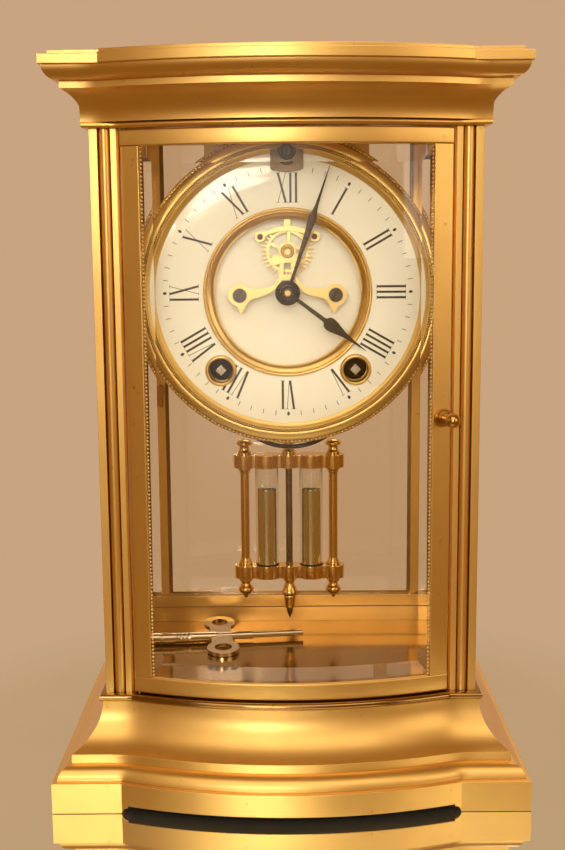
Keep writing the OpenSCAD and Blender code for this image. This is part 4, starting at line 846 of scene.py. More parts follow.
def beads(places: Iterable[Matrix], radius: float) -> BMesh:
    """Sets a small round bead at each place.

    Args:
        places: Where each bead sits, with its turn and stretch.
        radius: Radius of a bead before it is stretched.

    Returns:
        The mesh of all the beads.
    """
    bm = bmesh.new()
    bmesh.ops.create_uvsphere(bm, u_segments=8, v_segments=4, radius=radius)
    seed = bpy.data.meshes.new("bead")
    bm.to_mesh(seed)
    bm.clear()
    for place in places:
        first = len(bm.verts)
        bm.from_mesh(seed)
        bm.verts.ensure_lookup_table()
        bmesh.ops.transform(bm, matrix=place, verts=bm.verts[first:])
    bpy.data.meshes.remove(seed)
    outward(bm)
    return bm


def flatten(item: bpy.types.Object) -> None:
    """Lets broad faces keep their flat shading beside small roundings."""
    weighted = item.modifiers.new("flat_faces", "WEIGHTED_NORMAL")
    weighted.keep_sharp = True


def piece(
    bm: BMesh, name: str, finish: Finish, body: Body, replaces: Sequence[str] = (), sharp: float = 32.0
) -> None:
    """Sets a finished mesh as a named piece of the clock.

    Args:
        bm: The mesh in millimetres, in the frame of the solids.
        name: Name of the piece.
        finish: What it is dressed in.
        body: Body that it rides on.
        replaces: Solids that it stands for.
        sharp: Angle in degrees past which an edge stays crisp.
    """
    bmesh.ops.scale(bm, vec=(MM, MM, MM), verts=bm.verts[:])
    mesh = as_mesh(bm, name)
    mesh.shade_smooth()
    mesh.set_sharp_from_angle(angle=math.radians(sharp))
    mesh.materials.append(finish.material())
    item = placed(name, mesh)
    if sharp < ROUND and not isinstance(finish, Glass):
        flatten(item)
    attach(item, body.value)
    if replaces:
        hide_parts(*replaces)
    LOG.info("%s rides on %s, %d faces", name, body.value, len(mesh.polygons))


@dataclass(frozen=True)
class CasePlan:
    """Outline that every moulding of the case follows, seen from above, with its bowed front."""

    half_w: float = 67.0
    half_d: float = 43.5
    middle_y: float = 5.0
    bow_r: float = 167.45
    bow_rise: float = 10.0
    front_parts: int = 40
    lead_parts: int = 8
    apron_half: float = 57.75
    apron_side_half: float = 34.25
    apron_round: float = 2.25
    apron_lift: float = 3.0
    apron_inset: float = 0.05
    apron_clear: float = 0.03
    round_parts: int = 5
    pull: float = 0.9

    @property
    def bow_y(self) -> float:
        """Where the centre of the bow stands."""
        return self.middle_y - self.half_d - self.bow_rise + self.bow_r

    def lifts(self, half: float) -> list[Point]:
        """Gives places along one side with how far the apron lifts there.

        Args:
            half: Half the flat of the apron.

        Returns:
            Place and lift, from one end of the opening to the other.
        """
        turn = [math.radians(90.0 * k / self.round_parts) for k in range(self.round_parts + 1)]
        left = [(-half - self.apron_round * math.cos(a), self.apron_round * math.sin(a)) for a in turn]
        left.append((self.apron_inset - half, self.apron_lift))
        return left + [(-place, lift) for place, lift in reversed(left)]

    def turn_in(self, x: float, y: float, bow: float, soft: float) -> list[Corner]:
        """Leads from the straight of the right front corner into the bow.

        Args:
            x: Half the width where they meet.
            y: Depth of the straight.
            bow: Radius of the bow.
            soft: How far to each side the lead reaches.

        Returns:
            The points of the lead, from the bow to the corner, none of them lifted.
        """
        inner = x - soft
        rise = math.sqrt(bow**2 - inner**2)
        pull = self.pull * soft
        ends = Vector((inner, self.bow_y - self.middle_y - rise)), Vector((x + soft, y))
        pulls = ends[0] + Vector((pull, pull * (inner / rise))), ends[1] - Vector((pull, 0.0))
        path: list[Corner] = []
        for k in range(self.lead_parts + 1):
            t = k / self.lead_parts
            u = 1 - t
            spot = ends[0] * u**3 + pulls[0] * (3 * u * u * t) + pulls[1] * (3 * u * t * t) + ends[1] * t**3
            path.append((spot.x, spot.y, 0.0))
        return path

    def ring(
        self,
        out: float,
        z: float,
        apron: bool = False,
        step: float = 0.0,
        step_x: float = 0.0,
        soft: float = CRISP,
    ) -> list[Vector]:
        """Goes once round the case at a set distance out from its columns.

        Args:
            out: How far outside the columns.
            z: Height.
            apron: Whether the line lifts over the openings between the feet.
            step: How far the bowed part stands forward of its own line.
            step_x: Half the width of the bowed part where it steps.
            soft: How far the lead from the straight into the bow reaches.

        Returns:
            The points, each in the same place of every ring.
        """
        x_out, y_out = self.half_w + out, self.half_d + out
        own = self.bow_r + out
        bow = own + step
        reach = step_x or math.sqrt(own**2 - (own - self.bow_rise) ** 2)
        ends = self.lifts(self.apron_half)
        scale = (reach - soft) / (self.apron_half + self.apron_round + self.apron_clear)
        half = len(ends) // 2
        between = [
            (self.apron_half * (2 * k / self.front_parts - 1), self.apron_lift)
            for k in range(1, self.front_parts)
        ]
        front = [(x * scale, lift) for x, lift in ends[:half] + between + ends[half:]]
        lead = self.turn_in(reach, -y_out, bow, soft)
        spots: list[Corner] = [(-x_out, -y_out, 0.0)] + [(-x, y, 0.0) for x, y, _ in reversed(lead)]
        spots += [(x, self.bow_y - self.middle_y - math.sqrt(bow**2 - x**2), lift) for x, lift in front]
        spots += lead + [(x_out, -y_out, 0.0)]
        spots += [(x_out, y, lift) for y, lift in self.lifts(self.apron_side_half)]
        spots += [(x_out, y_out, 0.0)]
        spots += [(-x, y_out, lift) for x, lift in self.lifts(self.apron_half)]
        spots += [(-x_out, y_out, 0.0)]
        spots += [(-x_out, -y, lift) for y, lift in self.lifts(self.apron_side_half)]
        return [Vector((x, y + self.middle_y, z + (lift if apron else 0.0))) for x, y, lift in spots]


@dataclass
class CaseMouldings:
    """Base with its bottom plate, floor plate, top plate and cornice of the case."""

    plan: CasePlan = CasePlan()
    plinth_out: float = 17.7
    plinth_h: float = 11.3
    base_h: float = 35.4
    floor_h: float = 38.0
    plate_out: float = 2.4
    top_low: float = 238.0
    top_high: float = 240.0
    wall_in: float = -2.8
    bottom_out: float = 7.4
    bottom_z: Point = (0.6, 3.2)
    bow_step: float = 2.5
    step_x: float = 61.0
    hollow_low: float = 16.2
    hollow_high: float = 33.4
    foot_in: float = 7.3
    foot_lift: float = 2.0
    base_edge: float = 0.35
    ovolo_x: float = 11.0
    ovolo_r: float = 4.9
    fillet_out: float = 11.3
    fillet_z: Point = (16.35, 19.35)
    cove_x: float = 19.0
    cove_r: float = 17.8
    lead_low: float = 1.5
    lead_grow: float = 7.0
    lead_rise: float = 6.0
    plate_lead: float = 3.0
    top_cove_x: float = 12.7
    top_cove_r: float = 11.5
    top_fillet: Point = (8.0, 12.5)
    slab_out: float = 13.8
    slab_z: Point = (17.5, 20.8)
    slab_edge: float = 0.3
    cap_out: float = 11.0
    cap_in: float = 9.0
    cap_z: float = 22.3
    top_lead: float = 8.5
    slab_lead: float = 0.05
    lead_gap: float = 0.1

    def softness(self, z: float) -> float:
        """Finds how softly the base turns from its corners into the bow.

        Args:
            z: Height.

        Returns:
            How far the turn reaches.
        """
        if z <= self.plinth_h:
            return CRISP
        return self.lead_low + self.lead_grow * min(1.0, (z - self.plinth_h) / self.lead_rise)

    def base(self) -> None:
        """Moulded base: band, ovolo, fillet and cove, hollow underneath."""
        edge, top = self.base_edge, self.plinth_h
        wall, low = self.wall_in, self.hollow_low
        inner = [(wall, self.hollow_high), (wall, low), (self.foot_in, low)]
        outline: list[Corner] = [(self.foot_in, 0.0, 0.0), (self.plinth_out, 0.0, edge)]
        outline += [(self.plinth_out, top, edge), (self.ovolo_x + self.ovolo_r, top, 0.0)]
        outline += arc((self.ovolo_x, top), self.ovolo_r, 4.0, 86.0, 10)
        outline += [(self.fillet_out, self.fillet_z[0], 0.0), (self.fillet_out, self.fillet_z[1], 0.25)]
        outline += arc((self.cove_x, self.base_h), self.cove_r, -116.5, -180.0, 18)
        rings = [self.plan.ring(out, z) for out, z in inner]
        rings += [
            self.plan.ring(out, z, apron=z < self.foot_lift, soft=self.softness(z))
            for out, z in rounded(outline, closed=False)
        ]
        piece(swept(rings), "base_moulding", CASE_BRASS, Body.CASE, ["base_plinth"])

    def bottom(self) -> None:
        """Near-black plate that closes the hollow of the base, clear of the table; its black is painted
        shade, so the opening under the apron reads dark.
        """
        rings = [self.plan.ring(self.bottom_out, z) for z in self.bottom_z]
        piece(swept(rings), "bottom_plate", SHADE_BLACK_STEEL, Body.CASE)

    def plate(self, name: str, low: float, high: float, finish: Metal) -> None:
        """Plate with a half round edge.

        Args:
            name: Solid that the plate stands for.
            low: Height of its under side.
            high: Height of its top.
            finish: What it is dressed in.
        """
        nose = (high - low) / 2
        edge = arc((self.plate_out - nose, low + nose), nose, -90.0, 90.0, 8)
        rings = [self.plan.ring(out, z, soft=self.plate_lead) for out, z, _ in edge]
        piece(swept(rings), f"{name}_edged", finish, Body.CASE, [name])

    def cornice(self) -> None:
        """Cornice: cove, fillet, ovolo and slab, with the bowed part stepped forward."""
        z, edge = self.top_high, self.slab_edge
        low, high = (z + level for level in self.slab_z)
        fillet_out, fillet_up = self.top_fillet
        outline: list[Corner] = [(self.wall_in, low, 0.0), (self.wall_in, z, 0.0)]
        outline += arc((self.top_cove_x, z), self.top_cove_r, 180.0, 114.1, 16)
        outline += [(fillet_out, z + fillet_up, 0.0)]
        outline += arc((fillet_out, low), self.ovolo_r, -88.0, -2.0, 10)
        outline += [(self.slab_out, low, edge), (self.slab_out, high, edge)]
        top = z + self.cap_z
        outline += [(self.cap_out, high, 0.0), (self.cap_out, top, edge), (self.cap_in, top, 0.0)]
        rings = []
        for out, height in rounded(outline, closed=False):
            soft = self.top_lead if height < low - self.lead_gap else self.slab_lead
            rings.append(self.plan.ring(out, height, step=self.bow_step, step_x=self.step_x, soft=soft))
        piece(swept(rings), "cornice_moulding", CASE_BRASS, Body.CASE, ["cornice"])

    def build(self) -> None:
        """Builds the mouldings from the table up."""
        self.base()
        self.bottom()
        self.plate("floor_plate", self.base_h, self.floor_h, SHADED_FLOOR_BRASS)
        self.plate("top_plate", self.top_low, self.top_high, CASE_BRASS)
        self.cornice()


@dataclass
class FrontDoor:
    """Bowed front door: rails, stiles, bead strip and bevelled glass."""

    plan: CasePlan = CasePlan()
    half: float = 56.6
    inner_r: float = 163.45
    lip_r: float = 165.85
    lip: float = 1.4
    opening: float = 50.1
    low: float = 38.4
    low_in: float = 44.6
    high_in: float = 232.0
    high: float = 237.6
    glass_half: float = 51.3
    glass_low: float = 43.4
    glass_high: float = 233.2
    glass_in: float = 163.563
    edge_r: float = 165.563
    face_r: float = 166.563
    bevel_side: float = 5.6
    bevel_end: float = 7.2
    sweep: float = 44.0
    pin_round: float = 1.6
    free_round: float = 0.3
    face_in: Point = (2.2, 0.8)
    bead_r: float = 0.52
    bead_pitch: float = 1.35
    bead_out: float = 0.4
    bead_in: float = 0.55
    bead_gap: float = 0.6
    crown: float = 0.12
    rail_parts: int = 72
    pane_parts: int = 96

    def on_bow(self, x: float, r: float) -> float:
        """Depth of a point at x on a bow of radius r."""
        return self.plan.bow_y - math.sqrt(r * r - x * x)

    def bowed(self, profile: Sequence[Point], half: float, parts: int) -> BMesh:
        """Swings a profile along the bow and cuts both ends upright.

        Args:
            profile: Points as radius of the bow and height.
            half: Half the width between the cut ends.
            parts: Pieces in the swing.

        Returns:
            The bowed mesh.
        """
        bm = swung(profile, (0.0, self.plan.bow_y), -90.0 - self.sweep / 2, self.sweep, parts)
        for side in SIDES:
            cut(bm, Vector((side * half, 0.0, 0.0)), Vector((side, 0.0, 0.0)))
        return bm

    def rail(self, name: str, back_low: float, back_high: float, low: float, high: float) -> None:
        """Bowed rail with a lip over the glass.

        Args:
            name: Solid that the rail stands for.
            back_low: Height of the under side behind the lip.
            back_high: Height of the top behind the lip.
            low: Height of the under side.
            high: Height of the top.
        """
        r = self.plan.bow_r
        outline: list[Corner] = [
            (self.inner_r, back_low, 0.2), (self.lip_r, back_low, 0.0),
            (self.lip_r, low, 0.2 if back_low > low else 0.0), (r - self.crown, low, 0.6),
            (r, (low + high) / 2, 0.0), (r - self.crown, high, 0.6),
            (self.lip_r, high, 0.2 if back_high < high else 0.0), (self.lip_r, back_high, 0.0),
            (self.inner_r, back_high, 0.2),
        ]
        bm = self.bowed(rounded(outline), self.half, self.rail_parts)
        piece(settle(bm), f"{name}_moulded", CASE_BRASS, Body.FRONT_DOOR, [name])

    def stile(self, name: str, side: float) -> None:
        """Upright of the door.

        Args:
            name: Solid that the stile stands for.
            side: Minus one on the left, one on the right.
        """
        r = self.plan.bow_r
        back = self.opening + self.lip
        corner = self.pin_round if side < 0 else self.free_round
        face = [self.half - self.face_in[0], (self.half + self.opening) / 2, self.opening + self.face_in[1]]
        outline: list[Corner] = [(self.half, self.on_bow(self.half, r), corner)]
        outline += [(x, self.on_bow(x, r), 0.0) for x in face]
        outline += [
            (self.opening, self.on_bow(self.opening, r), 0.5),
            (self.opening, self.on_bow(self.opening, self.lip_r), 0.2),
            (back, self.on_bow(back, self.lip_r), 0.0), (back, self.on_bow(back, self.inner_r), 0.2),
            (self.half, self.on_bow(self.half, self.inner_r), 0.2),
        ]
        shape = [(side * x, y) for x, y in rounded(outline)]
        bm = slab(shape, self.low_in, self.high_in)
        piece(bm, f"{name}_moulded", UPRIGHT_BRASS, Body.FRONT_DOOR, [name])

    def bead_strip(self) -> None:
        """Row of beads along each stile, inside the opening of the door."""
        r = self.lip_r + self.bead_out
        x = self.opening - self.bead_in
        low, high = self.low_in + self.bead_gap, self.high_in - self.bead_gap
        up = int((high - low) / self.bead_pitch)
        places = [
            Matrix.Translation((side * x, self.on_bow(x, r), low + (high - low) * k / up))
            for side in SIDES
            for k in range(up + 1)
        ]
        piece(beads(places, self.bead_r), "door_beading", BEAD_GILT, Body.FRONT_DOOR, sharp=BEAD_SHARP)

    def glass(self) -> None:
        """Bowed pane, bevelled on all four sides."""
        outline = [
            (self.glass_in, self.glass_low), (self.edge_r, self.glass_low),
            (self.face_r, self.glass_low + self.bevel_end),
            (self.face_r, self.glass_high - self.bevel_end), (self.edge_r, self.glass_high),
            (self.glass_in, self.glass_high),
        ]
        bm = self.bowed(outline, self.glass_half, self.pane_parts)
        field = self.glass_half - self.bevel_side
        inner = Vector((field, self.on_bow(field, self.face_r), 0.0))
        outer = Vector((self.glass_half, self.on_bow(self.glass_half, self.edge_r), 0.0))
        along = outer - inner
        for side in SIDES:
            cut(bm, Vector((side * inner.x, inner.y, 0.0)), Vector((side * along.y, -along.x, 0.0)))
        piece(settle(bm), "front_glass_bevelled", PANE, Body.FRONT_DOOR, ["front_glass"], sharp=2.5)

    def build(self) -> None:
        """Builds the door."""
        self.rail("front_bottom_rail", self.low, self.low_in - self.lip, self.low, self.low_in)
        self.rail("front_top_rail", self.high_in + self.lip, self.high, self.high_in, self.high)
        self.stile("front_left_stile", -1.0)
        self.stile("front_right_stile", 1.0)
        self.bead_strip()
        self.glass()


@dataclass
class Dial:
    """Porcelain dial in its bezel, with numerals, centre ring, ferrules and the rate arbor's tab."""

    face: float = 24.0
    face_r: float = 47.5
    ring_in: float = 29.6
    ring_out: float = 49.2
    crown: float = 0.5
    crown_r: float = 38.0
    bezel_r: float = 54.9
    pan: float = 17.15
    rope_r: float = 50.1
    rope_n: int = 360
    edge_r: float = 54.3
    edge_n: int = 235
    wind_x: float = 24.4
    wind_y: float = -28.1
    wind_r: float = 4.35
    rate_up: float = 48.0
    tab_half: float = 5.8
    tab_low: float = 42.6
    centre_r: float = 26.6
    centre_face: float = 18.25
    notch: float = 2.4
    escape_up: float = 14.8
    foot: Point = (17.3, -1.0)
    drill_low: float = 10.0
    drill_short: float = 30.0
    ring_back: float = 22.0
    ring_parts: int = 14
    seat_gap: float = 0.9
    centre_lap: float = 0.8
    dish: float = 0.35
    dish_parts: int = 12
    rate_holes: Corner = (2.0, 1.6, 1.65)
    centre_holes: Corner = (3.2, 1.1, 1.3)
    tab_high: float = 49.4
    tab_bow: float = 0.9
    tab_corner: float = 0.95

    def height(self, r: float) -> float:
        """Height of the crowned face at radius r."""
        return self.face - self.crown * ((r - self.crown_r) / (self.face_r - self.crown_r)) ** 2

    def hole(self, radius: float, spot: Point = (0.0, 0.0), high: float = 40.0) -> BMesh:
        """Cutter for a round hole through the dial."""
        return rod(radius, self.drill_low, high, spot)

    def rate_hole(self, radius: float) -> BMesh:
        """Cutter for the hole of the rate arbor."""
        return self.hole(radius, (0.0, self.rate_up))

    def chapter_ring(self) -> None:
        """Crowned ring that carries the numerals."""
        step = (self.ring_out - self.ring_in) / self.ring_parts
        radii = [self.ring_in + step * k for k in range(self.ring_parts + 1)]
        profile = [(self.ring_out, self.ring_back), (self.ring_in, self.ring_back)]
        bm = turned(profile + [(r, self.height(r)) for r in radii], BROAD_TURN)
        seat = self.wind_r + self.seat_gap
        holes = [self.hole(seat, (side * self.wind_x, self.wind_y)) for side in SIDES]
        holes.append(self.rate_hole(self.rate_holes[0]))
        piece(moved(drilled(bm, holes), DIAL), "chapter_ring_crowned", ENAMEL, Body.CASE, ["chapter_ring"])

    def centre_dial(self) -> None:
        """Sunk, gently dished centre of the dial."""
        rim = self.centre_r + self.centre_lap
        shares = [k / self.dish_parts for k in range(self.dish_parts + 1)]
        dish = [(rim * share, self.centre_face - self.dish * (1 - share**2)) for share in shares]
        bm = turned([(0.0, self.pan), (rim, self.pan)] + dish[::-1], 128, closed=False)
        hands, arbor, foot = self.centre_holes
        spots = [(side * self.foot[0], self.foot[1]) for side in SIDES]
        high = self.drill_short
        holes = [self.hole(hands, high=high), self.hole(arbor, (0.0, self.escape_up), high)]
        holes += [self.hole(foot, spot, high) for spot in spots]
        piece(moved(drilled(bm, holes), DIAL), "centre_dial_dished", ENAMEL, Body.CASE, ["centre_dial"])

    def bezel(self) -> None:
        """Stepped bezel with a coved inner band, a seat for the rope, and a rounded edge."""
        f = self.face
        outline: list[Corner] = [(self.face_r, f - 0.7, 0.0), (self.face_r, f + 0.15, 0.1)]
        outline += arc((self.face_r + 0.1, f + 2.05), 1.75, -80.0, -10.0, 8)
        outline += [
            (49.4, f + 2.15, 0.1), (49.62, f + 2.1, 0.1), (49.68, f + 1.6, 0.0), (50.55, f + 1.6, 0.0),
            (50.62, f + 2.1, 0.1), (51.4, f + 2.18, 0.3), (52.6, f + 1.85, 0.5), (53.6, f + 1.3, 0.2),
            (53.75, f + 0.45, 0.05), (54.6, f + 0.35, 0.1), (self.bezel_r, f + 0.1, 0.3),
            (self.bezel_r, f - 0.9, 0.3), (53.6, f - 1.4, 0.2), (51.0, f - 1.4, 0.0),
            (51.0, self.pan, 0.0), (49.5, self.pan, 0.0), (49.5, f - 0.7, 0.0),
        ]
        bm = drilled(lathe(outline, steps=BROAD_TURN), [self.rate_hole(self.rate_holes[1])])
        piece(moved(bm, DIAL), "bezel_turned", BEZEL_GILT, Body.CASE, ["bezel"])
        self.ring_of_beads("bezel_rope", self.rope_r, f + 1.74, self.rope_n, 0.52, 30.0, (1.0, 0.62, 0.9))
        self.ring_of_beads("bezel_edge_beads", self.edge_r, f + 0.55, self.edge_n, 0.6)

    def ring_of_beads(
        self,
        name: str,
        r: float,
        level: float,
        count: int,
        size: float,
        slant: float = 0.0,
        stretch: Corner = (1.0, 1.0, 1.0),
    ) -> None:
        """Row of beads round the dial.

        Args:
            name: Name of the row.
            r: Radius of the row.
            level: Its height in the dial frame.
            count: How many beads.
            size: Radius of a bead.
            slant: Turn of each bead in degrees.
            stretch: Stretch of each bead along, across and up.
        """
        places = []
        for k in range(count):
            a = math.tau * k / count
            spot = Matrix.Translation((r * math.cos(a), r * math.sin(a), level))
            turn = Matrix.Rotation(a + math.radians(slant), 4, "Z")
            places.append(DIAL @ spot @ turn @ Matrix.Diagonal((*stretch, 1.0)))
        piece(beads(places, size), name, BEAD_GILT, Body.CASE, sharp=BEAD_SHARP)

    def tab(self) -> None:
        """Small plate at twelve that carries the rate arbor, with a dark cup round the arbor."""
        f = self.face
        side, low, high = self.tab_half, self.tab_low, self.tab_high
        shares = (-0.8, -0.4, 0.0, 0.4, 0.8)
        corner = low + self.tab_corner
        outline: list[Corner] = [(side, high, 0.0), (-side, high, 0.0), (-side, corner, 0.5)]
        outline += [(share * side, low + self.tab_bow * share**2, 0.0) for share in shares]
        outline += [(side, corner, 0.5)]
        bm = slab(rounded(outline), f + 0.1, f + 0.75)
        soften(bm, edges_above(bm, f + 0.4))
        bm = drilled(bm, [self.rate_hole(self.rate_holes[2])])
        piece(moved(bm, DIAL), "rate_tab", NUT_BRASS, Body.CASE)
        cup: list[Corner] = [
            (1.65, f + 0.6, 0.0), (1.65, f + 2.1, 0.2), (2.0, f + 2.5, 0.3), (2.6, f + 2.2, 0.5),
            (3.0, f + 1.4, 0.4), (3.15, f + 0.6, 0.0),
        ]
        piece(moved(lathe(cup, (0.0, self.rate_up, 0.0)), DIAL), "rate_cup", DARK_STEEL, Body.CASE)

    def centre_ring(self) -> None:
        """Turned ring between the centre and the chapter ring, notched at the top for the bridge."""
        f = self.face
        lip: list[Corner] = [
            (30.3, f - 0.5, 0.0), (30.3, f + 0.5, 0.2), (29.9, f + 0.95, 0.2), (29.4, f + 0.9, 0.2),
            (29.05, f + 0.45, 0.1), (28.75, f + 0.75, 0.15),
        ]
        lip += arc((29.2, f - 2.2), 2.9, 104.0, 175.0, 8)
        lip += [(self.centre_r - 0.02, f - 2.1, 0.0), (29.3, f - 2.1, 0.0), (29.3, f - 0.5, 0.0)]
        wall = [(27.6, self.pan), (29.3, self.pan), (29.3, f - 1.9), (27.6, f - 1.9)]
        gap = math.degrees(math.asin(self.notch / 28.0))
        parts = [lathe(lip, steps=160), swung(wall, (0.0, 0.0), 90.0 + gap, 360.0 - 2 * gap, 120)]
        piece(moved(joined(parts), DIAL), "centre_ring_turned", GILT, Body.CASE, ["centre_ring"])

    def ferrules(self) -> None:
        """Rims of the two winding holes."""
        f = self.face
        r, back = self.wind_r, self.face - 2.1
        outline: list[Corner] = [
            (r, back, 0.0), (r, f + 0.5, 0.25), (r + 0.45, f + 0.9, 0.3), (r + 1.0, f + 0.75, 0.3),
            (r + 1.4, f + 0.2, 0.2), (r + 1.4, f - 0.5, 0.0), (r + 0.85, f - 0.5, 0.0),
            (r + 0.85, back, 0.0),
        ]
        rims = [lathe(outline, (side * self.wind_x, self.wind_y, 0.0), RIM_TURN) for side in SIDES]
        piece(moved(joined(rims), DIAL), "winding_ferrules_turned", GILT, Body.CASE, ["winding_ferrules"])

    def build(self) -> None:
        """Builds the dial."""
        self.chapter_ring()
        self.centre_dial()
        self.bezel()
        self.tab()
        self.centre_ring()
        self.ferrules()
        Numerals(self).build()


@dataclass
class Numerals:
    """Hour numerals, hour dots and minute marks, painted on the crowned face."""

    dial: Dial
    low: float = 31.9
    high: float = 42.4
    thick: float = 0.8
    thin: float = 0.2
    serif: float = 0.14
    over: float = 0.42
    gap: float = 0.34
    v_width: float = 3.7
    x_width: float = 4.0
    dot_r: float = 44.1
    dot_size: Point = (0.5, 0.72)
    mark_low: float = 43.1
    mark_high: float = 44.9
    mark_half: float = 0.11
    lift: float = 0.02
    film: float = 0.03
    foot_shift: float = 0.15
    hair_over: float = 0.1
    x_over: float = 0.1
    long_edge: float = 3.0
    long_cuts: int = 8
    hours: tuple[str, ...] = ("XII", "I", "II", "III", "IIII", "V", "VI", "VII", "VIII", "IX", "X", "XI")

    def bar(self, foot: float, head: float, half: float) -> list[Point]:
        """Slanting stroke from foot to head, as its four corners."""
        tall = self.high - self.low
        return [(foot - half, 0.0), (foot + half, 0.0), (head + half, tall), (head - half, tall)]

    def cap(self, middle: float, half: float, level: float) -> list[Point]:
        """Hairline across the end of a stroke.

        Args:
            middle: Middle of the stroke.
            half: Half its width.
            level: Height of the stroke's end.

        Returns:
            The four corners of the hairline.
        """
        low = min(max(level - self.serif / 2, 0.0), self.high - self.low - self.serif)
        left, right = middle - half - self.over, middle + half + self.over
        return [(left, low), (right, low), (right, low + self.serif), (left, low + self.serif)]

    def letter(self, sign: str, start: float) -> tuple[list[list[Point]], float]:
        """Strokes of one letter.

        Args:
            sign: The letter.
            start: Where it starts along the line.

        Returns:
            The strokes and where the letter ends.
        """
        tall = self.high - self.low
        half, hair = self.thick / 2, self.thin / 2
        if sign == "I":
            middle = start + half + self.over
            caps = [self.cap(middle, half, level) for level in (0.0, tall)]
            return [self.bar(middle, middle, half)] + caps, middle + half + self.over
        if sign == "V":
            left, right = start + half + self.over, start + self.v_width - self.over
            foot = (left + right) / 2 + self.foot_shift
            strokes = [self.bar(foot, left, half), self.bar(foot + half - hair, right, hair)]
            strokes += [self.cap(left, half, tall), self.cap(right, hair + self.hair_over, tall)]
            return strokes, start + self.v_width
        left, right = start + half + self.over, start + self.x_width - half
        strokes = [self.bar(right, left, half), self.bar(left, right, hair)]
        strokes += [self.cap(left, hair, 0.0), self.cap(right, half, 0.0)]
        strokes += [self.cap(left, half, tall), self.cap(right, hair, tall)]
        return strokes, start + self.x_width + self.x_over

    def numeral(self, word: str) -> list[list[Point]]:
        """Strokes of one numeral, centred on its line.

        Args:
            word: The numeral.

        Returns:
            The corners of each stroke.
        """
        strokes: list[list[Point]] = []
        end = 0.0
        for sign in word:
            made, end = self.letter(sign, end)
            strokes += made
            end += self.gap
        middle = (end - self.gap) / 2
        return [[(x - middle, y + self.low) for x, y in stroke] for stroke in strokes]

    def build(self) -> None:
        """Lays all the paint in one film that follows the face."""
        bm = bmesh.new()
        for hour, word in enumerate(self.hours):
            turn = Matrix.Rotation(-math.tau * hour / 12, 4, "Z")
            for stroke in self.numeral(word):
                bm.faces.new([bm.verts.new(turn @ Vector((x, y, 0.0))) for x, y in stroke])
            spot = turn @ Matrix.Translation((0.0, self.dot_r, 0.0))
            oval = spot @ Matrix.Diagonal((*self.dot_size, 1.0, 1.0))
            bmesh.ops.create_circle(bm, cap_ends=True, radius=1.0, segments=14, matrix=oval)
        half, low, high = self.mark_half, self.mark_low, self.mark_high
        mark = [(-half, low), (half, low), (half, high), (-half, high)]
        for minute in (k for k in range(60) if k % 5):
            turn = Matrix.Rotation(-math.tau * minute / 60, 4, "Z")
            bm.faces.new([bm.verts.new(turn @ Vector((x, y, 0.0))) for x, y in mark])
        long = [edge for edge in bm.edges if edge.calc_length() > self.long_edge]
        bmesh.ops.subdivide_edges(bm, edges=long, cuts=self.long_cuts, use_grid_fill=True)
        for vert in bm.verts:
            vert.co.z = self.dial.height(vert.co.to_2d().length) + self.lift
        outward(bm)
        bmesh.ops.solidify(bm, geom=bm.faces[:], thickness=self.film)
        outward(bm)
        piece(moved(bm, DIAL), "dial_numerals", BLACK, Body.CASE)


@dataclass
class Hands:
    """Hour and minute hands with their turned collets, and the nut that holds them."""

    minute_turn: float = 18.7
    hour_turn: float = 127.0
    minute_level: float = 27.4
    hour_level: float = 25.6
    nut_level: float = 28.55
    blade: float = 0.5
    minute_shape: tuple[Point, ...] = (
        (0.0, 0.55), (6.0, 0.55), (14.0, 0.68), (22.0, 1.0), (26.0, 1.32), (28.0, 1.46), (29.3, 1.3),
        (30.6, 0.86), (32.2, 0.58), (36.0, 0.42), (42.0, 0.26), (47.0, 0.1),
    )
    hour_shape: tuple[Point, ...] = (
        (0.0, 0.7), (6.0, 0.68), (16.2, 0.8), (16.9, 1.05), (17.3, 1.8), (18.0, 2.25), (19.3, 2.42),
        (20.8, 2.2), (22.8, 1.62), (25.4, 1.0), (28.2, 0.62), (31.5, 0.36), (35.0, 0.1),
    )

    def hand(self, shape: Sequence[Point], level: float, turn: float) -> BMesh:
        """Blade of a hand with eased edges.

        Args:
            shape: Half widths along the blade.
            level: Height of its back.
            turn: Turn from twelve in degrees.

        Returns:
            The blade in the dial frame.
        """
        right = [(half, along) for along, half in shape]
        left = [(-half, along) for along, half in reversed(shape)]
        bm = slab(right + left, level, level + self.blade)
        soften(bm, edges_above(bm, level + self.blade / 2))
        return moved(settle(bm), Matrix.Rotation(-math.radians(turn), 4, "Z"))

    def build(self) -> None:
        """Builds both hands and the nut."""
        low = self.minute_level
        collet = [
            (2.0, low, 0.0), (4.3, low, 0.2), (4.5, low + 0.35, 0.2), (4.1, low + 0.75, 0.25),
            (3.55, low + 0.8, 0.15), (3.3, low + 0.6, 0.1), (3.0, low + 0.95, 0.25),
            (2.4, low + 1.0, 0.1), (2.0, low + 0.9, 0.0),
        ]
        blade = self.hand(self.minute_shape, low, self.minute_turn)
        minute = joined([blade, lathe(collet, steps=RIM_TURN)])
        piece(moved(minute, DIAL), "minute_hand_shaped", BLUED, Body.MINUTE_HAND, ["minute_hand"])
        low = self.hour_level
        boss = [
            (2.85, low, 0.0), (3.9, low, 0.15), (3.9, low + 1.0, 0.3), (3.3, low + 1.4, 0.2),
            (2.85, low + 1.4, 0.0),
        ]
        blade = self.hand(self.hour_shape, low, self.hour_turn)
        hour = joined([blade, lathe(boss, steps=RIM_TURN)])
        piece(moved(hour, DIAL), "hour_hand_shaped", GREYED, Body.HOUR_HAND, ["hour_hand"])
        low = self.nut_level
        nut = [
            (1.06, low, 0.0), (2.1, low, 0.0), (2.1, low + 0.4, 0.2), (1.75, low + 0.75, 0.15),
            (1.6, low + 1.2, 0.3), (1.06, low + 1.2, 0.1),
        ]
        piece(moved(lathe(nut), DIAL), "hand_nut_turned", NUT_BRASS, Body.CASE, ["hand_nut"])


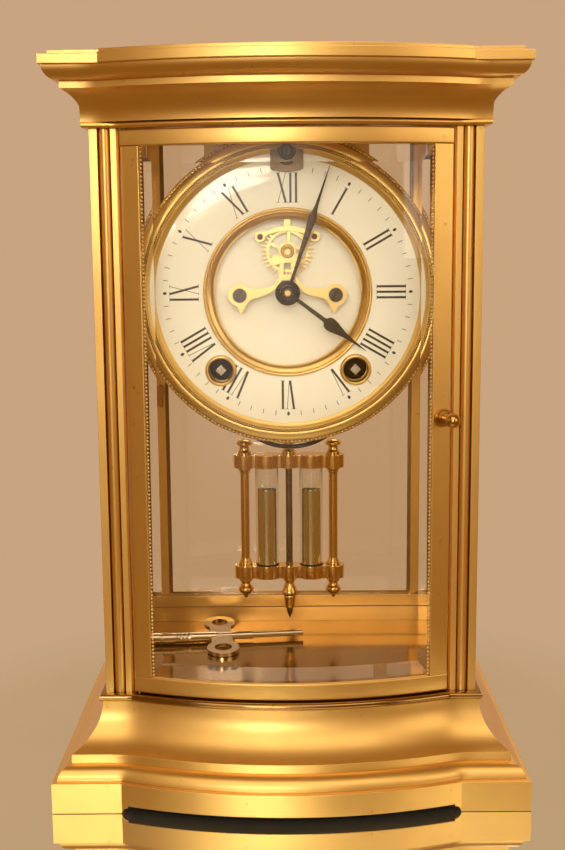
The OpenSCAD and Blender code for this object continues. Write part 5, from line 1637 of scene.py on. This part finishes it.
@dataclass
class Vials:
    """Glass vials of the pendulum and the quicksilver in them."""

    y: float = 33.0
    spread: float = 9.1
    low: float = 65.45
    high: float = 108.65
    radius: float = 4.75
    wall: float = 0.9
    fill: float = 99.4
    under: float = 1.0
    space: float = 0.05
    dome_r: float = 1.3
    dome_low: float = 1.2
    dome_rise: float = 0.25

    def pair(self, outline: Sequence[Corner]) -> BMesh:
        """Both turned from one outline."""
        return joined([lathe(outline, (side * self.spread, self.y, 0.0), closed=False) for side in SIDES])

    def build(self) -> None:
        """Builds the vials and their filling."""
        inner = self.radius - self.wall
        jar = [
            (0.0, self.low, 0.0), (self.radius, self.low, 0.5), (self.radius, self.high, 0.3),
            (inner, self.high, 0.3), (inner, self.fill - self.under, 0.0),
            (0.0, self.fill - self.under, 0.0),
        ]
        piece(self.pair(jar), "vials_blown", VIAL, Body.PENDULUM, ["pendulum_jars"])
        r, foot, edge = inner - self.space, self.low + self.wall + self.space, self.fill - self.dome_low
        drop: list[Corner] = [(0.0, foot, 0.0), (r, foot, 0.9), (r, edge, 0.0)]
        drop += arc((r - self.dome_r, edge), self.dome_r, 15.0, 75.0, 5)
        drop += [(0.0, self.fill + self.dome_rise, 0.0)]
        piece(self.pair(drop), "quicksilver_filling", MERCURY, Body.PENDULUM, ["quicksilver"])


@dataclass
class PendulumFrame:
    """Two scalloped bars and two turned pillars that hold the vials, with a collar round the rod."""

    y: float = 33.0
    low: float = 61.0
    bar_h: float = 5.4
    upper: float = 107.7
    pillar_x: float = 18.2
    lobes: tuple[Point, ...] = ((-18.2, 4.6), (-9.1, 5.5), (0.0, 4.62), (9.1, 5.5), (18.2, 4.6))
    web: float = 3.3
    jar_x: float = 9.1
    jar_r: float = 4.85
    seat: float = 1.0
    rod_hole: float = 1.6
    samples: int = 180

    def depth(self, x: float) -> float:
        """Half the depth of a bar at x, the deepest of its web and lobes there."""
        deep = [math.sqrt(r * r - (x - c) ** 2) for c, r in self.lobes if abs(x - c) < r]
        return max(deep + ([self.web] if abs(x) < self.pillar_x else [0.0]))

    def bar(self, low: float, seat: float) -> BMesh:
        """Scalloped bar with eased edges and seats for the vials.

        Args:
            low: Height of its under side.
            seat: Height where the seats start, on the side of the vials.

        Returns:
            The drilled bar.
        """
        end = self.lobes[-1][0] + self.lobes[-1][1]
        places = [-end * math.cos(math.pi * k / self.samples) for k in range(1, self.samples)]
        outline = [(-end, 0.0)] + [(x, self.depth(x)) for x in places] + [(end, 0.0)]
        outline += [(x, -self.depth(x)) for x in reversed(places)]
        bm = slab(outline, low, low + self.bar_h)
        rims = [e for e in bm.edges if abs(e.verts[0].co.z - e.verts[1].co.z) < MERGE]
        soften(bm, rims)
        holes = [rod(self.rod_hole, low - 1.0, low + self.bar_h + 1.0)]
        for side in SIDES:
            holes.append(rod(self.jar_r, seat, seat + 2 * self.seat, (side * self.jar_x, 0.0)))
        return drilled(bm, holes)

    def pillar(self, side: float) -> BMesh:
        """Turned pillar with a bulb and point below and a finial above.

        Args:
            side: Minus one on the left, one on the right.

        Returns:
            The pillar.
        """
        low, high = self.low, self.upper + self.bar_h
        above, below = low + self.bar_h, self.upper
        outline: list[Corner] = [
            (0.0, low - 9.1, 0.0), (0.55, low - 8.8, 0.2), (1.0, low - 7.9, 0.3), (1.2, low - 7.3, 0.2),
            (2.3, low - 6.9, 0.5), (3.2, low - 5.6, 0.7), (3.2, low - 4.6, 0.7), (2.2, low - 3.5, 0.6),
            (1.85, low - 2.8, 0.3), (1.95, low - 2.0, 0.2), (2.8, low - 1.3, 0.3),
            (2.8, above + 0.9, 0.3), (2.3, above + 1.5, 0.2), (2.3, above + 2.0, 0.2),
            (1.85, above + 2.6, 0.3), (1.85, below - 2.6, 0.3), (2.3, below - 2.0, 0.2),
            (2.3, below - 1.5, 0.2), (2.8, below - 0.9, 0.3), (2.8, high + 0.9, 0.3),
            (2.1, high + 1.8, 0.4), (1.95, high + 3.1, 0.3), (2.3, high + 3.5, 0.2),
            (3.2, high + 4.0, 0.4), (3.3, high + 4.9, 0.5), (2.3, high + 5.9, 0.6),
            (0.0, high + 6.5, 0.0),
        ]
        return lathe(outline, (side * self.pillar_x, 0.0, 0.0), closed=False)

    def collar(self) -> BMesh:
        """Turned collar round the rod on top of the upper bar.

        Returns:
            The collar.
        """
        top = self.upper + self.bar_h
        outline: list[Corner] = [
            (self.rod_hole, top - 0.3, 0.0), (2.9, top - 0.3, 0.0), (2.9, top + 1.3, 0.4),
            (2.1, top + 2.2, 0.4), (2.1, top + 4.1, 0.3), (2.7, top + 4.7, 0.3), (2.5, top + 6.0, 0.3),
            (self.rod_hole, top + 6.0, 0.1),
        ]
        return lathe(outline)

    def build(self) -> None:
        """Builds the frame."""
        parts = [self.bar(self.low, self.low + self.bar_h - self.seat)]
        parts.append(self.bar(self.upper, self.upper - self.seat))
        parts += [self.pillar(side) for side in SIDES] + [self.collar()]
        whole = moved(joined(parts), Matrix.Translation((0.0, self.y, 0.0)))
        piece(whole, "pendulum_frame_turned", PENDULUM_BRASS, Body.PENDULUM, ["pendulum_frame"])


@dataclass
class PendulumTip:
    """Brass sleeve over the root of the pendulum's steel point."""

    y: float = 33.0
    low: float = 47.5
    high: float = 53.2

    def build(self) -> None:
        """Turns the sleeve."""
        low, high = self.low, self.high
        outline: list[Corner] = [
            (1.0, low, 0.0), (1.5, low, 0.1), (1.85, low + 0.25, 0.15), (2.3, high - 1.5, 0.3),
            (2.55, high - 1.1, 0.15), (2.55, high - 0.5, 0.15), (2.3, high - 0.02, 0.1),
            (1.0, high - 0.02, 0.0),
        ]
        piece(lathe(outline, (0.0, self.y, 0.0)), "pendulum_sleeve", PENDULUM_BRASS, Body.PENDULUM)


@dataclass
class Gong:
    """Coiled gong of round wire."""

    plane_y: float = 23.0
    centre_z: float = 142.5
    start_r: float = 6.5
    end_r: float = 27.5
    turns: int = 5
    lead: float = 1.8
    wire: float = 0.9
    per_turn: int = 56

    def build(self) -> None:
        """Winds the coil and makes it a mesh."""
        spots = [Vector((self.start_r, 0.0))]
        count = self.turns * self.per_turn
        for k in range(count + 1):
            t = k / count
            r = self.start_r + (self.end_r - self.start_r) * t
            a = math.tau * self.turns * t
            spots.append(Vector((r * math.cos(a), self.lead + r * math.sin(a))))
        spots.append(Vector((self.end_r, 2 * self.lead)))
        curve = bpy.data.curves.new("gong_wire", "CURVE")
        curve.dimensions = "3D"
        curve.bevel_depth = self.wire
        curve.bevel_resolution = 3
        curve.use_fill_caps = True
        spline = curve.splines.new("POLY")
        spline.points.add(len(spots) - 1)
        for point, spot in zip(spline.points, spots):
            point.co = (spot.x, self.plane_y, self.centre_z + spot.y, 1.0)
        holder = bpy.data.objects.new("gong_wire", curve)
        mesh = bpy.data.meshes.new_from_object(holder)
        bpy.data.objects.remove(holder)
        bpy.data.curves.remove(curve)
        piece(settle(reopened(mesh)), "gong_coil", GONG_STEEL, Body.CASE, ["gong"], sharp=50.0)


@dataclass
class EscapementTrim:
    """Turned hub of the escape bridge."""

    up: float = 14.8
    top: float = 23.0

    def build(self) -> None:
        """Builds the hub's rings."""
        low = self.top
        rings = [
            (0.72, low + 0.1, 0.0), (2.45, low + 0.1, 0.0), (2.45, low + 0.55, 0.15),
            (2.0, low + 0.8, 0.15), (1.75, low + 0.62, 0.1), (1.45, low + 0.95, 0.2),
            (1.0, low + 0.7, 0.1), (0.72, low + 0.7, 0.0),
        ]
        bm = lathe(rings, (0.0, self.up, 0.0))
        piece(moved(bm, DIAL), "bridge_hub_rings", PALE_BRASS, Body.CASE)


@dataclass
class Dresser:
    """Dresses the solids that show as they are: welded, eased along their edges, and given a finish."""

    weld: float = 0.004
    smooth_angle: float = 35.0
    flat_angle: float = 0.6
    ease_angle: float = 40.0

    def soft_group(self) -> bpy.types.NodeTree:
        """Makes the node group that smooths shading up to an angle.

        Returns:
            The node group.
        """
        group = bpy.data.node_groups.new("soft_shading", "GeometryNodeTree")
        group.interface.new_socket("Geometry", in_out="INPUT", socket_type="NodeSocketGeometry")
        group.interface.new_socket("Geometry", in_out="OUTPUT", socket_type="NodeSocketGeometry")
        nodes, links = group.nodes, group.links
        start, end = nodes.new("NodeGroupInput"), nodes.new("NodeGroupOutput")
        bare = nodes.new("GeometryNodeRemoveAttribute")
        bare.inputs["Name"].default_value = "custom_normal"
        angle = nodes.new("GeometryNodeInputMeshEdgeAngle")
        test = nodes.new("FunctionNodeCompare")
        test.operation = "LESS_EQUAL"
        test.inputs[1].default_value = math.radians(self.smooth_angle)
        edges, faces = nodes.new("GeometryNodeSetShadeSmooth"), nodes.new("GeometryNodeSetShadeSmooth")
        edges.domain = "EDGE"
        faces.domain = "FACE"
        links.new(start.outputs[0], bare.inputs["Geometry"])
        links.new(bare.outputs["Geometry"], faces.inputs["Geometry"])
        links.new(faces.outputs["Geometry"], edges.inputs["Geometry"])
        links.new(angle.outputs["Unsigned Angle"], test.inputs[0])
        links.new(test.outputs[0], edges.inputs["Shade Smooth"])
        links.new(edges.outputs["Geometry"], end.inputs[0])
        return group

    def dress(self, node: bpy.types.Object, finish: Finish, ease: float, group: bpy.types.NodeTree) -> None:
        """Dresses one solid.

        Args:
            node: Its object.
            finish: What it is dressed in.
            ease: Width of its eased edges, or nought to leave them crisp.
            group: Node group that smooths its shading.
        """
        node.data.materials.clear()
        node.data.materials.append(finish.material())
        if ease <= 0.0:
            return
        weld = node.modifiers.new("weld", "WELD")
        weld.merge_threshold = self.weld * MM
        flat = node.modifiers.new("flat", "DECIMATE")
        flat.decimate_type = "DISSOLVE"
        flat.angle_limit = math.radians(self.flat_angle)
        bevel = node.modifiers.new("eased", "BEVEL")
        bevel.width = ease * MM
        bevel.segments = 2
        bevel.limit_method = "ANGLE"
        bevel.angle_limit = math.radians(self.ease_angle)
        soft = node.modifiers.new("soft", "NODES")
        soft.node_group = group
        flatten(node)

    def build(self, nodes: dict[str, bpy.types.Object]) -> None:
        """Dresses every solid that no piece stands for.

        Args:
            nodes: Solids by name.
        """
        group = self.soft_group()
        plan: list[tuple[Finish, float, tuple[str, ...]]] = [
            (UPRIGHT_BRASS, 0.18, ("front_left_column", "front_right_column", "rear_left_column")),
            (UPRIGHT_BRASS, 0.18, ("rear_right_column", "rear_stiles", "hinge_pins")),
            (CASE_BRASS, 0.18, ("rear_crossbar", "rear_rails")),
            (KNOB_BRASS, 0.18, ("front_latch", "rear_latch")),
            (PANE, 0.0, ("left_glass", "right_glass", "rear_glass")),
            (PLATE_BRASS, 0.12, ("front_plate", "back_plate", "dial_pan", "movement_straps", "gong_block")),
            (PLATE_BRASS, 0.1, ("suspension_cock", "time_barrel", "strike_barrel", "cannon_pinion")),
            (PLATE_BRASS, 0.05, ("going_train", "strike_train", "hour_wheel", "minute_wheel")),
            (PALE_BRASS, 0.05, ("escape_wheel", "escape_bridge", "anchor")),
            (PENDULUM_BRASS, 0.1, ("rating_nut",)),
            (ROD_STEEL, 0.08, ("pendulum_rod",)),
            (STEEL, 0.08, ("anchor_arbor",)),
            (WINDING_STEEL, 0.06, ("time_winding_arbor", "strike_winding_arbor")),
            (DARK_STEEL, 0.08, ("bridge_screws", "regulator_arbor", "hammer")),
            (NICKEL, 0.12, ("winding_key",)),
            (RUBY, 0.04, ("pallet_stones",)),
        ]
        for finish, ease, names in plan:
            for name in names:
                self.dress(nodes[name], finish, ease, group)
                LOG.info("%s dressed in %s", name, finish.name)


@dataclass(frozen=True)
class Lamp:
    """Soft box of the studio."""

    name: str
    place: Corner
    aim: Corner
    size: Point
    power: float
    colour: Colour
    mirrored: bool = True
    through: bool = True

    def build(self) -> None:
        """Hangs the lamp; metal shows it only if it is mirrored, and glass only if it shines through."""
        light = bpy.data.lights.new(self.name, "AREA")
        light.shape = "RECTANGLE"
        light.size, light.size_y = self.size
        light.energy = self.power
        light.color = self.colour
        item = placed(self.name, light)
        item.visible_camera = False
        item.visible_glossy = self.mirrored
        item.visible_transmission = self.through
        item.location = self.place
        item.rotation_euler = (Vector(self.aim) - Vector(self.place)).to_track_quat("-Z", "Y").to_euler()


class Sky(Tree):
    """Node tree of the background, with short ways to add what it needs."""

    def __init__(self) -> None:
        """Starts an empty background."""
        world = bpy.data.worlds.new("studio")
        world.use_nodes = True
        bpy.context.scene.world = world
        super().__init__(world.node_tree)
        self.nodes.clear()
        self.way = self.nodes.new("ShaderNodeTexCoord").outputs["Generated"]
        self.rays = self.nodes.new("ShaderNodeLightPath")

    def ray(self, kind: str) -> Socket:
        """One on rays of that kind, nought on others."""
        return self.rays.outputs[f"Is {kind} Ray"]

    def facing(self, way: Corner) -> Socket:
        """How far the direction looked in goes along a set way."""
        return self.vector("DOT_PRODUCT", self.way, way)

    def light(self, colour: Socket) -> None:
        """Lights the room.

        Args:
            colour: Colour of the light.
        """
        shade, out = self.nodes.new("ShaderNodeBackground"), self.nodes.new("ShaderNodeOutputWorld")
        self.links.new(colour, shade.inputs["Color"])
        self.links.new(shade.outputs[0], out.inputs["Surface"])


@dataclass
class Studio:
    """Camera, pale table, background and lamps, in metres."""

    camera_place: Corner = (-0.0005, -0.45577, 0.20146)
    yaw: float = -0.231
    pitch: float = 8.897
    roll: float = 0.471
    focal: float = 1203.9
    frame_h: float = 850.0
    sensor: float = 36.0
    near: float = 0.01
    table: Colour = (0.88, 0.90, 0.80)
    table_shade: float = 0.95
    table_metal: float = 0.97
    table_rough: Point = (0.02, 0.035)
    wall: Colour = (0.58, 0.37, 0.22)
    room: Colour = (0.25, 0.115, 0.016)
    glow: Colour = (1.05, 0.92, 0.75)
    glow_turn: float = -9.0
    glow_wide: Point = (0.93, 0.995)
    glow_low: Point = (-0.3, 0.05)
    glow_high: Point = (0.4, 0.7)
    wall_turn: Point = (0.0, 0.7)
    ambient: Colour = (0.46, 0.385, 0.27)
    table_r: float = 3.0
    fade: Point = (0.13, 0.18)

    def camera(self) -> None:
        """Stands the camera where the photograph was taken from."""
        yaw, pitch, roll = (math.radians(a) for a in (self.yaw, self.pitch, self.roll))
        ahead = Vector((math.sin(yaw) * math.cos(pitch), math.cos(yaw) * math.cos(pitch), -math.sin(pitch)))
        right = Vector((math.cos(yaw), -math.sin(yaw), 0.0))
        down = ahead.cross(right)
        across = right * math.cos(roll) + down * math.sin(roll)
        drop = down * math.cos(roll) - right * math.sin(roll)
        turn = Matrix((across, -drop, -ahead)).transposed().to_4x4()
        lens = bpy.data.cameras.new("camera")
        lens.sensor_fit = "VERTICAL"
        lens.sensor_height = self.sensor
        lens.lens = self.focal / self.frame_h * self.sensor
        lens.clip_start = self.near
        item = placed("camera", lens)
        item.matrix_world = Matrix.Translation(self.camera_place) @ turn
        bpy.context.scene.camera = item

    def floor(self) -> None:
        """Lays the pale, mirror-like table, a disc round the clock that soon fades into the background."""
        recipe = Recipe("table_pale")
        marks = recipe.noise(12.0, 5.0)
        deep: Colour = tuple(self.table_shade * part for part in self.table)
        recipe.feed("Base Color", recipe.blend(recipe.span(marks, MIDDLE), self.table, deep))
        recipe.feed("Roughness", recipe.span(marks, MIDDLE, self.table_rough))
        recipe.fix("Metallic", self.table_metal)
        recipe.clear(recipe.span(recipe.vector("LENGTH", recipe.place), self.fade), (1.0, 1.0, 1.0))
        bm = bmesh.new()
        bmesh.ops.create_circle(bm, cap_ends=True, radius=self.table_r, segments=96)
        item = placed("table", as_mesh(bm, "table"))
        item.data.materials.append(recipe.material)

    def background(self) -> None:
        """Shows the eye a plain wall and reflections a glow in a darker room, with soft light elsewhere."""
        sky = Sky()
        turn = math.radians(self.glow_turn)
        level = sky.vector("NORMALIZE", sky.vector("MULTIPLY", sky.way, (1.0, 1.0, 0.0)))
        across = sky.vector("DOT_PRODUCT", level, (math.sin(turn), -math.cos(turn), 0.0))
        upright = sky.facing((0.0, 0.0, 1.0))
        lower = sky.span(upright, self.glow_low, soft=True)
        upper = sky.span(upright, self.glow_high, (1.0, 0.0), soft=True)
        wide = sky.span(across, self.glow_wide, soft=True)
        bright = sky.math("MULTIPLY", wide, sky.math("MULTIPLY", lower, upper))
        front = sky.blend(bright, self.room, self.glow)
        behind = sky.span(sky.facing((0.0, 1.0, 0.0)), self.wall_turn, soft=True)
        seen = sky.blend(sky.math("MAXIMUM", behind, sky.ray("Camera")), front, self.wall)
        mirrored = sky.math("MAXIMUM", sky.ray("Camera"), sky.ray("Glossy"))
        shown = sky.math("MAXIMUM", mirrored, sky.ray("Transmission"))
        sky.light(sky.blend(shown, self.ambient, seen))

    def build(self) -> None:
        """Sets up the whole studio."""
        bpy.context.scene.view_settings.view_transform = "Standard"
        self.camera()
        self.floor()
        self.background()
        middle: Corner = (0.0, 0.0, 0.13)
        warm: Colour = (1.0, 0.91, 0.74)
        white: Colour = (1.0, 0.97, 0.9)
        cool: Colour = (1.0, 1.0, 0.94)
        lamps = (
            Lamp("core_lamp", (-0.2, -1.6, 0.45), middle, (0.3, 0.2), 3.1, white),
            Lamp(
                "fill_lamp", (0.0, -1.5, 0.6), middle, (1.2, 0.9), 15.5, cool, mirrored=False, through=False
            ),
            Lamp("front_lamp", (0.0, -1.2, 1.35), middle, (1.5, 1.0), 8.0, warm),
            Lamp("left_lamp", (-1.3, -0.5, 0.55), middle, (0.7, 0.7), 0.8, warm),
            Lamp("right_lamp", (1.1, -1.0, 0.55), middle, (0.8, 0.8), 3.5, warm),
            Lamp("rear_lamp", (0.2, 0.8, 1.2), middle, (0.6, 0.6), 3.0, warm),
        )
        for lamp in lamps:
            lamp.build()


def main() -> None:
    """Loads the solids and builds the studio and every piece."""
    logging.basicConfig(level=logging.INFO, format="%(message)s", stream=sys.stdout)
    for item in list(bpy.data.objects):
        bpy.data.objects.remove(item)
    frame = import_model()
    Studio().build()
    CaseMouldings().build()
    FrontDoor().build()
    Dial().build()
    Hands().build()
    Vials().build()
    PendulumFrame().build()
    PendulumTip().build()
    Gong().build()
    EscapementTrim().build()
    Dresser().build(frame["nodes"])
    bpy.context.view_layer.update()


if __name__ == "__main__":
    main()
